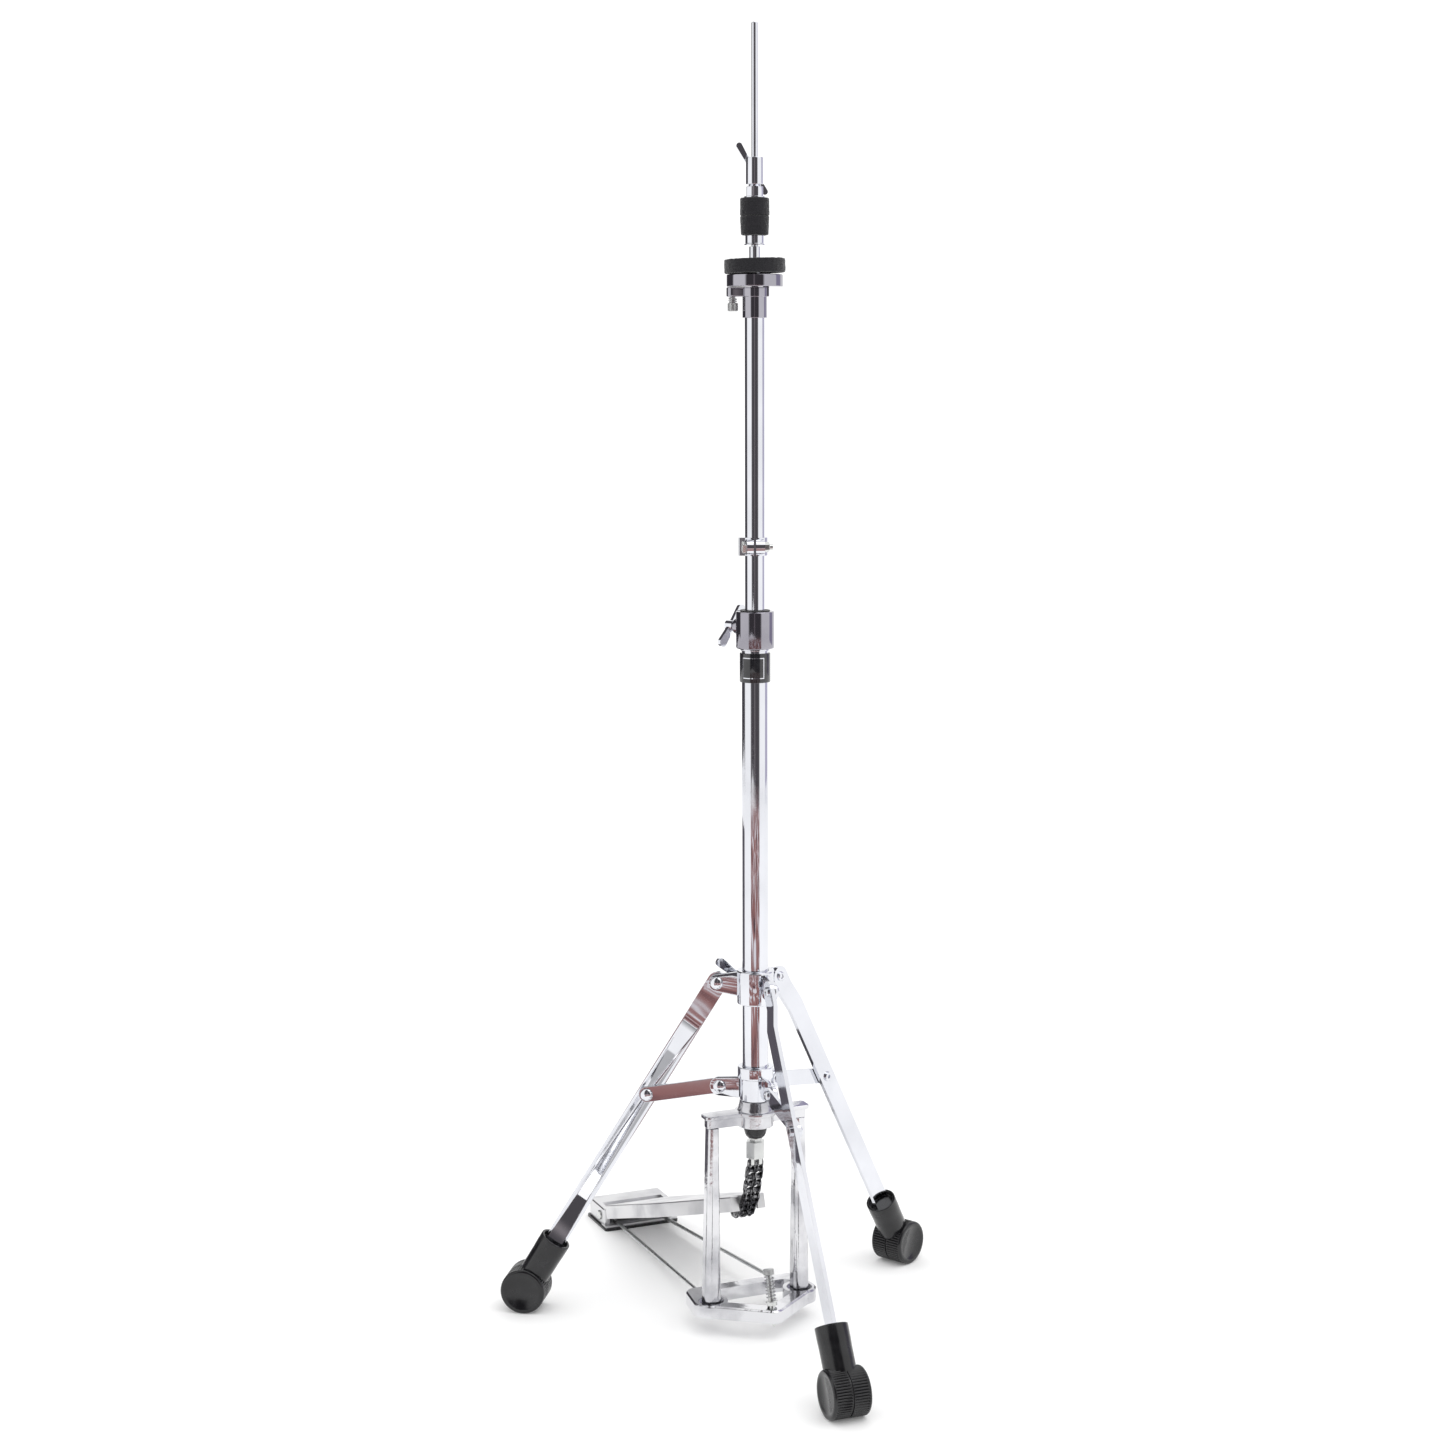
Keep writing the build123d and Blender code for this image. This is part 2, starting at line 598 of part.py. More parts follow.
def wing_screw(azimuth, tip, hub_at, height, shank_r, tilt, reach, lobe_r):
    """A wing screw pointing outward at an azimuth: shank, hub and two blades tilted from upright."""
    hub_r = shank_r + 2.2
    with BuildPart() as screw:
        with BuildSketch(outward_plane(azimuth, tip, height)):
            Circle(shank_r)
        extrude(amount=hub_at - tip)
        with BuildSketch(outward_plane(azimuth, hub_at, height)):
            Circle(hub_r)
        extrude(amount=9)
        blade_plane = outward_plane(azimuth, hub_at + 2.5, height)
        for turn in (0, 180):
            with BuildSketch(blade_plane) as blade:
                with Locations(Rot(0, 0, 90 + tilt + turn) * Pos(reach - lobe_r, 0)):
                    Circle(lobe_r)
                with Locations(Rot(0, 0, 90 + tilt + turn) * Pos(hub_r * 0.5, 0)):
                    Circle(lobe_r * 0.72)
                make_hull()
            extrude(amount=3.4)
    return screw


# ================= tripod =================
collar_boss = outward_plane(270, COLLAR_R - 5, 342)


def ear(azimuth, pivot, end_r, root_low, root_high, root_r):
    """The outline of one lug that carries a pivot, in the upright plane of a leg."""
    with BuildSketch(radial_plane(azimuth, LEG_THICK / 2 + LAYER_GAP + EAR_THICK)) as lug:
        with Locations(pivot):
            Circle(end_r)
        with Locations((root_r, (root_low + root_high) / 2)):
            Rectangle(4, root_high - root_low)
        make_hull()
        with Locations(pivot):
            Circle(RIVET_R, mode=Mode.SUBTRACT)
    return lug.sketch


with BuildPart() as upper_collar:
    with BuildSketch(Plane.XY.offset(COLLAR_BOTTOM)):
        Circle(COLLAR_R)
    extrude(amount=COLLAR_TOP - COLLAR_BOTTOM)
    fillet(upper_collar.edges().filter_by(GeomType.CIRCLE), radius=1.5)
    for azimuth in LEG_AZIMUTHS:
        extrude(ear(azimuth, (LEG_PIVOT_R, LEG_PIVOT_Z), 8.2, 332.5, 356.5, 15.5), amount=EAR_THICK)
    with BuildSketch(collar_boss):
        Circle(8)
    extrude(amount=11)
    with BuildSketch(Plane.XY.offset(COLLAR_BOTTOM)):
        Circle(LOWER_TUBE_R + RUN_GAP)
    extrude(amount=COLLAR_TOP, mode=Mode.SUBTRACT)
    with BuildSketch(collar_boss):
        Circle(3 + RUN_GAP)
    extrude(amount=20, both=True, mode=Mode.SUBTRACT)
write(upper_collar, "upper_collar")

with BuildPart() as lower_ring:
    with BuildSketch(Plane.XY.offset(RING_STEP)):
        Circle(RING_R)
    extrude(amount=RING_TOP - RING_STEP)
    with BuildSketch(Plane.XY.offset(RING_BOTTOM)):
        Circle(RING_NARROW_R)
    extrude(amount=RING_STEP - RING_BOTTOM)
    fillet(lower_ring.edges().filter_by(GeomType.CIRCLE).group_by(Axis.Z)[-1], radius=1.2)
    for azimuth in LEG_AZIMUTHS:
        extrude(ear(azimuth, (BRACE_PIVOT_R, BRACE_PIVOT_Z), 9.6, 231.5, 252.5, 17), amount=EAR_THICK)
    with BuildSketch(Plane.XY.offset(RING_BOTTOM)):
        Circle(LOWER_TUBE_R + RUN_GAP)
    extrude(amount=RING_TOP, mode=Mode.SUBTRACT)
write(lower_ring, "lower_ring")


def pivot_rivets(pivot, bar_thick):
    """Three rivets, one through each lug and its bar: a domed head outside and a rolled tail."""
    with BuildPart() as rivets:
        for azimuth in LEG_AZIMUTHS:
            head_face = LEG_THICK / 2 + LAYER_GAP + EAR_THICK
            tail_face = LEG_THICK / 2 - bar_thick - LAYER_GAP
            with BuildSketch(radial_plane(azimuth, head_face)):
                with Locations(pivot):
                    Circle(RIVET_R)
            extrude(amount=head_face - tail_face)
            with BuildSketch(radial_plane(azimuth, tail_face)):
                with Locations(pivot):
                    Circle(RIVET_R + 1.6)
            extrude(amount=1.8)
            with BuildSketch(radial_plane(azimuth, tail_face - 1.8)):
                with Locations(pivot):
                    Circle(1.9)
            extrude(amount=-3, mode=Mode.SUBTRACT)
            with BuildSketch(radial_plane(azimuth, head_face)):
                with Locations(pivot):
                    Circle(RIVET_HEAD_R)
            extrude(amount=-RIVET_HEAD_H)
            outer_rim = rivets.edges(Select.LAST).filter_by(GeomType.CIRCLE).sort_by(
                Axis((0, 0, 0), around(1, azimuth + 90, 0)))[-1]
            fillet(outer_rim, radius=RIVET_HEAD_ROUND)
    return rivets


write(pivot_rivets((LEG_PIVOT_R, LEG_PIVOT_Z), LEG_THICK), "collar_rivets")
write(pivot_rivets((BRACE_PIVOT_R, BRACE_PIVOT_Z), BRACE_THICK), "ring_rivets")

leg_lean = radians(LEG_ANGLE)
rivet_point = (LEG_PIVOT_R + LEG_RIVET_AT * sin(leg_lean), LEG_PIVOT_Z - LEG_RIVET_AT * cos(leg_lean))
foot_point = (LEG_PIVOT_R + LEG_LENGTH * sin(leg_lean), LEG_PIVOT_Z - LEG_LENGTH * cos(leg_lean))
LOWER_TOP = -LEG_THICK / 2 - LAYER_GAP
LOWER_MIDDLE = LOWER_TOP - LEG_THICK / 2
LEG_END = LEG_LENGTH - 12.0

for number, azimuth in enumerate(LEG_AZIMUTHS, start=1):
    outward = around(1, azimuth, 0)
    anticlockwise = around(1, azimuth + 90, 0)
    down_leg = outward * sin(leg_lean) - Vector(0, 0, cos(leg_lean))
    leg_side = Plane(origin=around(LEG_PIVOT_R, azimuth, LEG_PIVOT_Z), x_dir=down_leg,
                     z_dir=down_leg.cross(anticlockwise))
    with BuildPart() as leg:
        with BuildSketch(leg_side):
            with BuildLine():
                Polyline(
                    (-LEG_WIDTH / 2, LEG_THICK / 2), (JOGGLE_START, LEG_THICK / 2), (JOGGLE_END, LOWER_TOP),
                    (LEG_END, LOWER_TOP), (LEG_END, LOWER_TOP - LEG_THICK), (JOGGLE_END - 1.5, LOWER_TOP - LEG_THICK),
                    (JOGGLE_START - 1.5, -LEG_THICK / 2), (-LEG_WIDTH / 2, -LEG_THICK / 2), close=True,
                )
            make_face()
        extrude(amount=LEG_WIDTH / 2, both=True)
        top_corners = leg.edges().filter_by(Axis((0, 0, 0), anticlockwise)).group_by(Axis(leg_side.origin, down_leg))[0]
        fillet(top_corners, radius=LEG_WIDTH / 2 - 0.1)
        with BuildSketch(radial_plane(azimuth)):
            with Locations((LEG_PIVOT_R, LEG_PIVOT_Z)):
                Circle(RIVET_R + RUN_GAP)
        extrude(amount=10, both=True, mode=Mode.SUBTRACT)
        with BuildSketch(radial_plane(azimuth)):
            with Locations(rivet_point):
                Circle(RIVET_R)
        extrude(amount=10, both=True, mode=Mode.SUBTRACT)
    with BuildPart() as foot:
        with BuildSketch(radial_plane(azimuth, LOWER_MIDDLE + FOOT_WIDTH / 2)):
            with Locations(foot_point):
                Circle(FOOT_R)
        extrude(amount=FOOT_WIDTH)
        fillet(foot.edges().filter_by(GeomType.CIRCLE), radius=2.5)
        foot_centre = around(foot_point[0], azimuth, foot_point[1]) + anticlockwise * LOWER_MIDDLE
        up_leg = Plane(origin=foot_centre, x_dir=anticlockwise, z_dir=-down_leg)
        with BuildSketch(up_leg):
            Circle(FOOT_SLEEVE_R)
        extrude(amount=FOOT_SLEEVE_LENGTH)
        with BuildSketch(up_leg.offset(FOOT_SLEEVE_LENGTH)):
            Circle(FOOT_SLEEVE_R - 2.6)
        extrude(amount=-5, mode=Mode.SUBTRACT)
        with BuildSketch(up_leg.offset(LEG_LENGTH - LEG_END)):
            Rectangle(LEG_THICK, LEG_WIDTH)
        extrude(amount=FOOT_SLEEVE_LENGTH, mode=Mode.SUBTRACT)
    write(foot, f"foot_{number}")

    brace_run = Vector(rivet_point[0] - BRACE_PIVOT_R, rivet_point[1] - BRACE_PIVOT_Z, 0)
    with BuildPart() as brace:
        with BuildSketch(radial_plane(azimuth, LEG_THICK / 2 - BRACE_THICK)):
            brace_middle = (BRACE_PIVOT_R + brace_run.X / 2, BRACE_PIVOT_Z + brace_run.Y / 2, 0)
            with Locations(Location(brace_middle, (0, 0, degrees(atan2(brace_run.Y, brace_run.X))))):
                SlotCenterToCenter(brace_run.length, BRACE_WIDTH)
            with Locations((BRACE_PIVOT_R, BRACE_PIVOT_Z)):
                Circle(RIVET_R + RUN_GAP, mode=Mode.SUBTRACT)
            with Locations(rivet_point):
                Circle(RIVET_R, mode=Mode.SUBTRACT)
        extrude(amount=-BRACE_THICK)
    write(brace, f"brace_{number}")

    with BuildPart() as rivet_head:
        with BuildSketch(radial_plane(azimuth, LEG_THICK / 2 - BRACE_THICK)):
            with Locations(rivet_point):
                Circle(RIVET_R)
        extrude(amount=-BRACE_THICK)
        with BuildSketch(radial_plane(azimuth, LEG_THICK / 2)):
            with Locations(rivet_point):
                Circle(RIVET_HEAD_R)
        extrude(amount=-RIVET_HEAD_H)
        fillet(rivet_head.edges().filter_by(GeomType.CIRCLE).sort_by(Axis((0, 0, 0), anticlockwise))[-1],
               radius=RIVET_HEAD_ROUND)
    write(rivet_head, f"brace_rivet_{number}")

    with BuildPart() as rivet_tail:
        with BuildSketch(radial_plane(azimuth, LOWER_TOP)):
            with Locations(rivet_point):
                Circle(RIVET_R)
        extrude(amount=LEG_THICK)
        with BuildSketch(radial_plane(azimuth, LOWER_TOP - LEG_THICK)):
            with Locations(rivet_point):
                Circle(RIVET_R + 1.6)
        extrude(amount=1.8)
        with BuildSketch(radial_plane(azimuth, LOWER_TOP - LEG_THICK - 1.8)):
            with Locations(rivet_point):
                Circle(1.9)
        extrude(amount=-3, mode=Mode.SUBTRACT)
    leg.part = Compound(children=[leg.part.solid(), rivet_tail.part.solid()])
    write(leg, f"leg_{number}")

tripod_wing_screw = wing_screw(270, LOWER_TUBE_R + 0.2, 36, 342, 3, -50, 30, 4.6)
write(tripod_wing_screw, "tripod_wing_screw")

# ================= height clamp, memory lock and upper tube =================
CLAMP_SCREW_AZIMUTH = 292.0
CLAMP_SCREW_Z = 691.0
clamp_boss = outward_plane(CLAMP_SCREW_AZIMUTH, CLAMP_R - 5, CLAMP_SCREW_Z)
with BuildPart() as clamp_collar:
    with BuildSketch(Plane.XY.offset(CLAMP_BOTTOM)):
        Circle(CLAMP_R)
    extrude(amount=CLAMP_TOP - CLAMP_BOTTOM)
    fillet(clamp_collar.edges().filter_by(GeomType.CIRCLE), radius=1.3)
    with BuildSketch(clamp_boss):
        Circle(8)
    extrude(amount=10)
    with BuildSketch(Plane.XY.offset(CLAMP_BOTTOM)):
        Circle(LOWER_TUBE_R)
    extrude(amount=60, mode=Mode.SUBTRACT)
    with BuildSketch(clamp_boss):
        Circle(3 + RUN_GAP)
    extrude(amount=20, both=True, mode=Mode.SUBTRACT)
write(clamp_collar, "clamp_collar")

with BuildPart() as clamp_bush:
    bush_section = half_section(
        (UPPER_TUBE_R + RUN_GAP, LOWER_TUBE_TOP), (LOWER_TUBE_R, LOWER_TUBE_TOP), (LOWER_TUBE_R, CLAMP_TOP),
        (LOWER_TUBE_R + 1.6, CLAMP_TOP), (LOWER_TUBE_R + 1.6, CLAMP_TOP + 1), (UPPER_TUBE_R + RUN_GAP, CLAMP_TOP + 1),
    )
    revolve(bush_section, axis=Axis.Z)
write(clamp_bush, "clamp_bush")

with BuildPart() as label_sleeve:
    with BuildSketch(Plane.XY.offset(LABEL_SLEEVE_BOTTOM)):
        Circle(LABEL_SLEEVE_R)
        Circle(LOWER_TUBE_R, mode=Mode.SUBTRACT)
    extrude(amount=LABEL_SLEEVE_TOP - LABEL_SLEEVE_BOTTOM)
write(label_sleeve, "label_sleeve")

height_wing_screw = wing_screw(CLAMP_SCREW_AZIMUTH, LOWER_TUBE_R + 0.2, 27, CLAMP_SCREW_Z, 3, 40, 24, 4.6)
write(height_wing_screw, "height_wing_screw")

with BuildPart() as upper_tube:
    with BuildSketch(Plane.XY.offset(UPPER_TUBE_BOTTOM)):
        Circle(UPPER_TUBE_R)
        Circle(UPPER_TUBE_BORE_R, mode=Mode.SUBTRACT)
    extrude(amount=UPPER_TUBE_TOP - UPPER_TUBE_BOTTOM)
write(upper_tube, "upper_tube")

with BuildPart() as tube_end_bush:
    with BuildSketch(Plane.XY.offset(UPPER_TUBE_TOP - 14)):
        Circle(UPPER_TUBE_BORE_R)
        Circle(ROD_R + RUN_GAP, mode=Mode.SUBTRACT)
    extrude(amount=14)
write(tube_end_bush, "tube_end_bush")

LOCK_TURN = 156.0
LOCK_BOSS_HALF = 8.5
lock_frame = Plane(origin=(0, 0, LOCK_BOTTOM), x_dir=around(1, LOCK_TURN, 0), z_dir=(0, 0, 1))
lock_middle = (LOCK_TOP - LOCK_BOTTOM) / 2
screw_turn = Plane(origin=lock_frame.from_local_coords((0, -15, lock_middle)),
                   x_dir=(0, 0, 1), z_dir=around(1, LOCK_TURN + 10, 0))
with BuildPart() as memory_lock:
    with BuildSketch(lock_frame):
        Circle(LOCK_R)
        with Locations((-10.5, -2.5)):
            RectangleRounded(10, 12, radius=1.5)
    extrude(amount=LOCK_TOP - LOCK_BOTTOM)
    with BuildSketch(screw_turn.offset(-LOCK_BOSS_HALF)):
        Circle(7.4)
    extrude(amount=2 * LOCK_BOSS_HALF)
    with BuildSketch(lock_frame.offset(-5)):
        Circle(UPPER_TUBE_R + RUN_GAP)
        with Locations((0, -16)):
            Rectangle(2.2, 18)
    extrude(amount=40, mode=Mode.SUBTRACT)
    with BuildSketch(screw_turn.offset(LOCK_BOSS_HALF)):
        Circle(5.4)
    extrude(amount=20, mode=Mode.SUBTRACT)
write(memory_lock, "memory_lock")

with BuildPart() as memory_lock_screw:
    with BuildSketch(screw_turn.offset(-LOCK_BOSS_HALF)):
        RectangleRounded(8.5, 8.5, radius=0.8, rotation=20)
    extrude(amount=-4)
    with BuildSketch(screw_turn.offset(LOCK_BOSS_HALF)):
        RegularPolygon(radius=5, side_count=6)
    extrude(amount=5)
    with BuildSketch(screw_turn.offset(LOCK_BOSS_HALF + 5)):
        Circle(3)
    extrude(amount=3.5)
write(memory_lock_screw, "memory_lock_screw")

# ================= lower cymbal seat =================
PIVOT_REACH = 10.5
PIVOT_Z = 1012.2
PIVOT_R = 1.5
tilt_plane = Plane(origin=(0, 0, 0), x_dir=around(1, TILTER_AZIMUTH, 0), z_dir=(0, 0, 1))
tilt_side = radial_plane(TILTER_AZIMUTH)
with BuildPart() as seat_sleeve:
    with BuildSketch(tilt_plane.offset(SLEEVE_BOTTOM)):
        Circle(SLEEVE_R)
    extrude(amount=NECK_TOP - SLEEVE_BOTTOM)
    with BuildSketch(tilt_plane.offset(NECK_BOTTOM)):
        Circle(NECK_R)
        with Locations((TILTER_REACH / 2, 0)):
            SlotCenterToCenter(TILTER_REACH, 12)
    extrude(amount=NECK_TOP - NECK_BOTTOM)
    with BuildSketch(tilt_plane.offset(NECK_BOTTOM)):
        with Locations((-PIVOT_REACH, 0)):
            RectangleRounded(6, 8, radius=1)
    extrude(amount=PIVOT_Z + 2.6 - NECK_BOTTOM)
    with BuildSketch(Plane.XY.offset(SLEEVE_BOTTOM)):
        Circle(UPPER_TUBE_R)
    extrude(amount=UPPER_TUBE_TOP - SLEEVE_BOTTOM, mode=Mode.SUBTRACT)
    with BuildSketch(Plane.XY.offset(UPPER_TUBE_TOP)):
        Circle(5)
    extrude(amount=30, mode=Mode.SUBTRACT)
    with BuildSketch(tilt_plane.offset(NECK_BOTTOM)):
        with Locations((TILTER_REACH, 0)):
            Circle(2.5 + RUN_GAP)
    extrude(amount=20, mode=Mode.SUBTRACT)
    with BuildSketch(tilt_side):
        with Locations((-PIVOT_REACH, PIVOT_Z)):
            Circle(PIVOT_R + RUN_GAP)
    extrude(amount=20, both=True, mode=Mode.SUBTRACT)
write(seat_sleeve, "seat_sleeve")

with BuildPart() as seat_disc:
    with BuildSketch(tilt_plane.offset(SEAT_BOTTOM)):
        Circle(SEAT_R)
    extrude(amount=SEAT_TOP - SEAT_BOTTOM)
    fillet(seat_disc.edges().filter_by(GeomType.CIRCLE), radius=1.2)
    with BuildSketch(tilt_plane.offset(SEAT_TOP)):
        Circle(10)
    extrude(amount=FELT_BOTTOM - SEAT_TOP)
    with BuildSketch(tilt_plane.offset(SEAT_BOTTOM)):
        with Locations((-PIVOT_REACH, 0)):
            Rectangle(8.4, 9)
    extrude(amount=6.4, mode=Mode.SUBTRACT)
    with BuildSketch(tilt_plane.offset(SEAT_BOTTOM)):
        Circle(STEM_BORE_R)
    extrude(amount=20, mode=Mode.SUBTRACT)
    with BuildSketch(tilt_plane.offset(SEAT_BOTTOM + 4)):
        Circle(STEM_R)
    extrude(amount=20, mode=Mode.SUBTRACT)
    with BuildSketch(tilt_side):
        with Locations((-PIVOT_REACH, PIVOT_Z)):
            Circle(PIVOT_R)
    extrude(amount=10, both=True, mode=Mode.SUBTRACT)
write(seat_disc, "seat_disc")

with BuildPart() as seat_hinge_pin:
    with BuildSketch(tilt_side):
        with Locations((-PIVOT_REACH, PIVOT_Z)):
            Circle(PIVOT_R)
    extrude(amount=10, both=True)
write(seat_hinge_pin, "seat_hinge_pin")

with BuildPart() as seat_stem:
    with BuildSketch(Plane.XY.offset(SEAT_BOTTOM + 4)):
        Circle(STEM_R)
        Circle(STEM_BORE_R, mode=Mode.SUBTRACT)
    extrude(amount=STEM_TOP - SEAT_BOTTOM - 4)
write(seat_stem, "seat_stem")

with BuildPart() as seat_felt:
    with BuildSketch(Plane.XY.offset(FELT_BOTTOM)):
        Circle(FELT_R)
        Circle(STEM_R, mode=Mode.SUBTRACT)
    extrude(amount=FELT_TOP - FELT_BOTTOM)
write(seat_felt, "seat_felt")

TILTER_HEAD_BOTTOM = 987.5
TILTER_HEAD_TOP = 995.5
with BuildPart() as tilter_screw:
    with BuildSketch(tilt_plane.offset(TILTER_HEAD_BOTTOM)):
        with Locations((TILTER_REACH, 0)):
            Circle(5)
    extrude(amount=TILTER_HEAD_TOP - TILTER_HEAD_BOTTOM)
    chamfer(tilter_screw.edges().filter_by(GeomType.CIRCLE), length=0.7)
    with BuildSketch(tilt_plane.offset(TILTER_HEAD_TOP)):
        with Locations((TILTER_REACH, 0)):
            Circle(2.5)
    extrude(amount=SEAT_BOTTOM - 0.3 - TILTER_HEAD_TOP)
write(tilter_screw, "tilter_screw")

with BuildPart() as tilter_spring:
    with BuildLine():
        small_coil = Helix(pitch=1.8, height=NECK_BOTTOM - TILTER_HEAD_TOP - 1.4, radius=3.6,
                           center=tilt_plane.from_local_coords((TILTER_REACH, 0, TILTER_HEAD_TOP + 0.7)))
    with BuildSketch(Plane(origin=small_coil @ 0, z_dir=small_coil % 0)):
        Circle(0.55)
    sweep()
write(tilter_spring, "tilter_spring")

# ================= clutch =================
CLUTCH_SCREW_AZIMUTH = 256.0
CLUTCH_SCREW_Z = 1119.0
clutch_boss = outward_plane(CLUTCH_SCREW_AZIMUTH, 5, CLUTCH_SCREW_Z)
with BuildPart() as clutch_body:
    with BuildSketch(Plane.XY.offset(CLUTCH_BOTTOM)):
        Circle(CLUTCH_R)
    extrude(amount=CLUTCH_TOP - CLUTCH_BOTTOM)
    chamfer(clutch_body.edges().filter_by(GeomType.CIRCLE), length=0.6)
    with BuildSketch(Plane.XY.offset(CLUTCH_BOTTOM)):
        Circle(CLUTCH_TUBE_R)
    extrude(amount=9, mode=Mode.SUBTRACT)
    with BuildSketch(Plane.XY.offset(CLUTCH_BOTTOM)):
        Circle(ROD_R + RUN_GAP)
    extrude(amount=40, mode=Mode.SUBTRACT)
    with BuildSketch(clutch_boss):
        Circle(2.2 + RUN_GAP)
    extrude(amount=10, both=True, mode=Mode.SUBTRACT)
write(clutch_body, "clutch_body")

with BuildPart() as clutch_tube:
    with BuildSketch(Plane.XY.offset(BOTTOM_NUT_Z + 0.6)):
        Circle(CLUTCH_TUBE_R)
        Circle(ROD_R + 0.4, mode=Mode.SUBTRACT)
    extrude(amount=CLUTCH_BOTTOM + 9 - BOTTOM_NUT_Z - 0.6)
write(clutch_tube, "clutch_tube")

with BuildPart() as clutch_upper_nut:
    with BuildSketch(Plane.XY.offset(CLUTCH_FELT_TOP + 1.2)):
        RegularPolygon(radius=8.4, side_count=8)
        Circle(CLUTCH_TUBE_R, mode=Mode.SUBTRACT)
    extrude(amount=9)
    with BuildSketch(Plane.XY.offset(CLUTCH_FELT_TOP)):
        Circle(10)
        Circle(CLUTCH_TUBE_R, mode=Mode.SUBTRACT)
    extrude(amount=1.2)
write(clutch_upper_nut, "clutch_upper_nut")

for label, bottom, top in (("clutch_felt_lower", CLUTCH_FELT_BOTTOM, CLUTCH_FELT_MIDDLE),
                           ("clutch_felt_upper", CLUTCH_FELT_MIDDLE, CLUTCH_FELT_TOP)):
    with BuildPart() as clutch_felt:
        with BuildSketch(Plane.XY.offset(bottom)):
            Circle(CLUTCH_FELT_R)
            Circle(CLUTCH_TUBE_R, mode=Mode.SUBTRACT)
        extrude(amount=top - bottom)
    write(clutch_felt, label)

with BuildPart() as clutch_bottom_nut:
    nut_section = half_section(
        (CLUTCH_TUBE_R, BOTTOM_NUT_Z + 0.6), (CLUTCH_TUBE_R, CLUTCH_FELT_BOTTOM), (8.9, CLUTCH_FELT_BOTTOM),
        (8.9, BOTTOM_NUT_Z + 1.6), (9.85, BOTTOM_NUT_Z + 1.2), (9.85, BOTTOM_NUT_Z), (3.6, BOTTOM_NUT_Z),
        (3.6, BOTTOM_NUT_Z + 0.6),
    )
    revolve(nut_section, axis=Axis.Z)
write(clutch_bottom_nut, "clutch_bottom_nut")

clutch_wing_screw = wing_screw(CLUTCH_SCREW_AZIMUTH, ROD_R + 0.25, 11, CLUTCH_SCREW_Z, 2.2, -30, 27, 2.8)
write(clutch_wing_screw, "clutch_wing_screw")
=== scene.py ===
import json
from math import atan2, cos, degrees, pi, radians, sin

import bmesh
import bpy
from mathutils import Matrix, Vector, noise


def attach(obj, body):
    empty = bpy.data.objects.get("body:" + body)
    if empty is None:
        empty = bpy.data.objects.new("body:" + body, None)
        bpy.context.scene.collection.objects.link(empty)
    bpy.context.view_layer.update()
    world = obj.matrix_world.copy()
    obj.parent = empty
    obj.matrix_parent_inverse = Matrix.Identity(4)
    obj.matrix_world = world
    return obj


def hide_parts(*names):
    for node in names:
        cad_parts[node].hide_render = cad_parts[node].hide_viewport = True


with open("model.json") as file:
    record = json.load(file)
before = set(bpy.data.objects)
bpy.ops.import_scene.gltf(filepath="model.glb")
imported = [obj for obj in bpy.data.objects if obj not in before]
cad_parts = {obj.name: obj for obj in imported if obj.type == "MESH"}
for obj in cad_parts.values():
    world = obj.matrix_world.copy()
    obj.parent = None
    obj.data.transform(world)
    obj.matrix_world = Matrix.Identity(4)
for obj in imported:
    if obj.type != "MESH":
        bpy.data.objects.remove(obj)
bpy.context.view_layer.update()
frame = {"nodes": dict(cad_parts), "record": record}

MM = 0.001
record = frame["record"]
BODY_OF = {node: body for body, nodes in record["behaviour"]["bodies"].items() for node in nodes}
SLOT_OF = {part["node"]: part["material_slot"] for part in record["subparts"]}


# ---------- materials ----------
METAL = 1.0
NOT_METAL = 0.0


def new_material(name, color, metallic, roughness):
    """A principled material and its shader, node list and link list."""
    material = bpy.data.materials.new(name)
    material.use_nodes = True
    nodes = material.node_tree.nodes
    shader = nodes["Principled BSDF"]
    shader.inputs["Base Color"].default_value = (*color, 1)
    shader.inputs["Metallic"].default_value = metallic
    shader.inputs["Roughness"].default_value = roughness
    return material, shader, nodes, material.node_tree.links


def noise_field(nodes, links, scale, detail=4.0, stretch=(1, 1, 1), distortion=0.0):
    """A noise texture laid through the object's own space. Returns its factor socket."""
    place = nodes.new("ShaderNodeTexCoord")
    mapping = nodes.new("ShaderNodeMapping")
    mapping.inputs["Scale"].default_value = stretch
    texture = nodes.new("ShaderNodeTexNoise")
    texture.inputs["Scale"].default_value = scale
    texture.inputs["Detail"].default_value = detail
    texture.inputs["Distortion"].default_value = distortion
    links.new(place.outputs["Object"], mapping.inputs["Vector"])
    links.new(mapping.outputs["Vector"], texture.inputs["Vector"])
    return texture.outputs["Fac"]


def ramp(nodes, links, factor, stops):
    """A colour ramp over a factor, with stops of (position, grey or colour)."""
    node = nodes.new("ShaderNodeValToRGB")
    elements = node.color_ramp.elements
    while len(elements) < len(stops):
        elements.new(0.5)
    for element, (position, value) in zip(elements, stops):
        element.position = position
        element.color = (*value, 1) if isinstance(value, tuple) else (value, value, value, 1)
    links.new(factor, node.inputs["Fac"])
    return node.outputs["Color"]


def add_bump(nodes, links, shader, layers):
    """Stacked bumps, each of (height socket, strength, distance in metres)."""
    normal = None
    for height, strength, distance in layers:
        bump = nodes.new("ShaderNodeBump")
        bump.inputs["Strength"].default_value = strength
        bump.inputs["Distance"].default_value = distance
        links.new(height, bump.inputs["Height"])
        if normal is not None:
            links.new(normal, bump.inputs["Normal"])
        normal = bump.outputs["Normal"]
    links.new(normal, shader.inputs["Normal"])


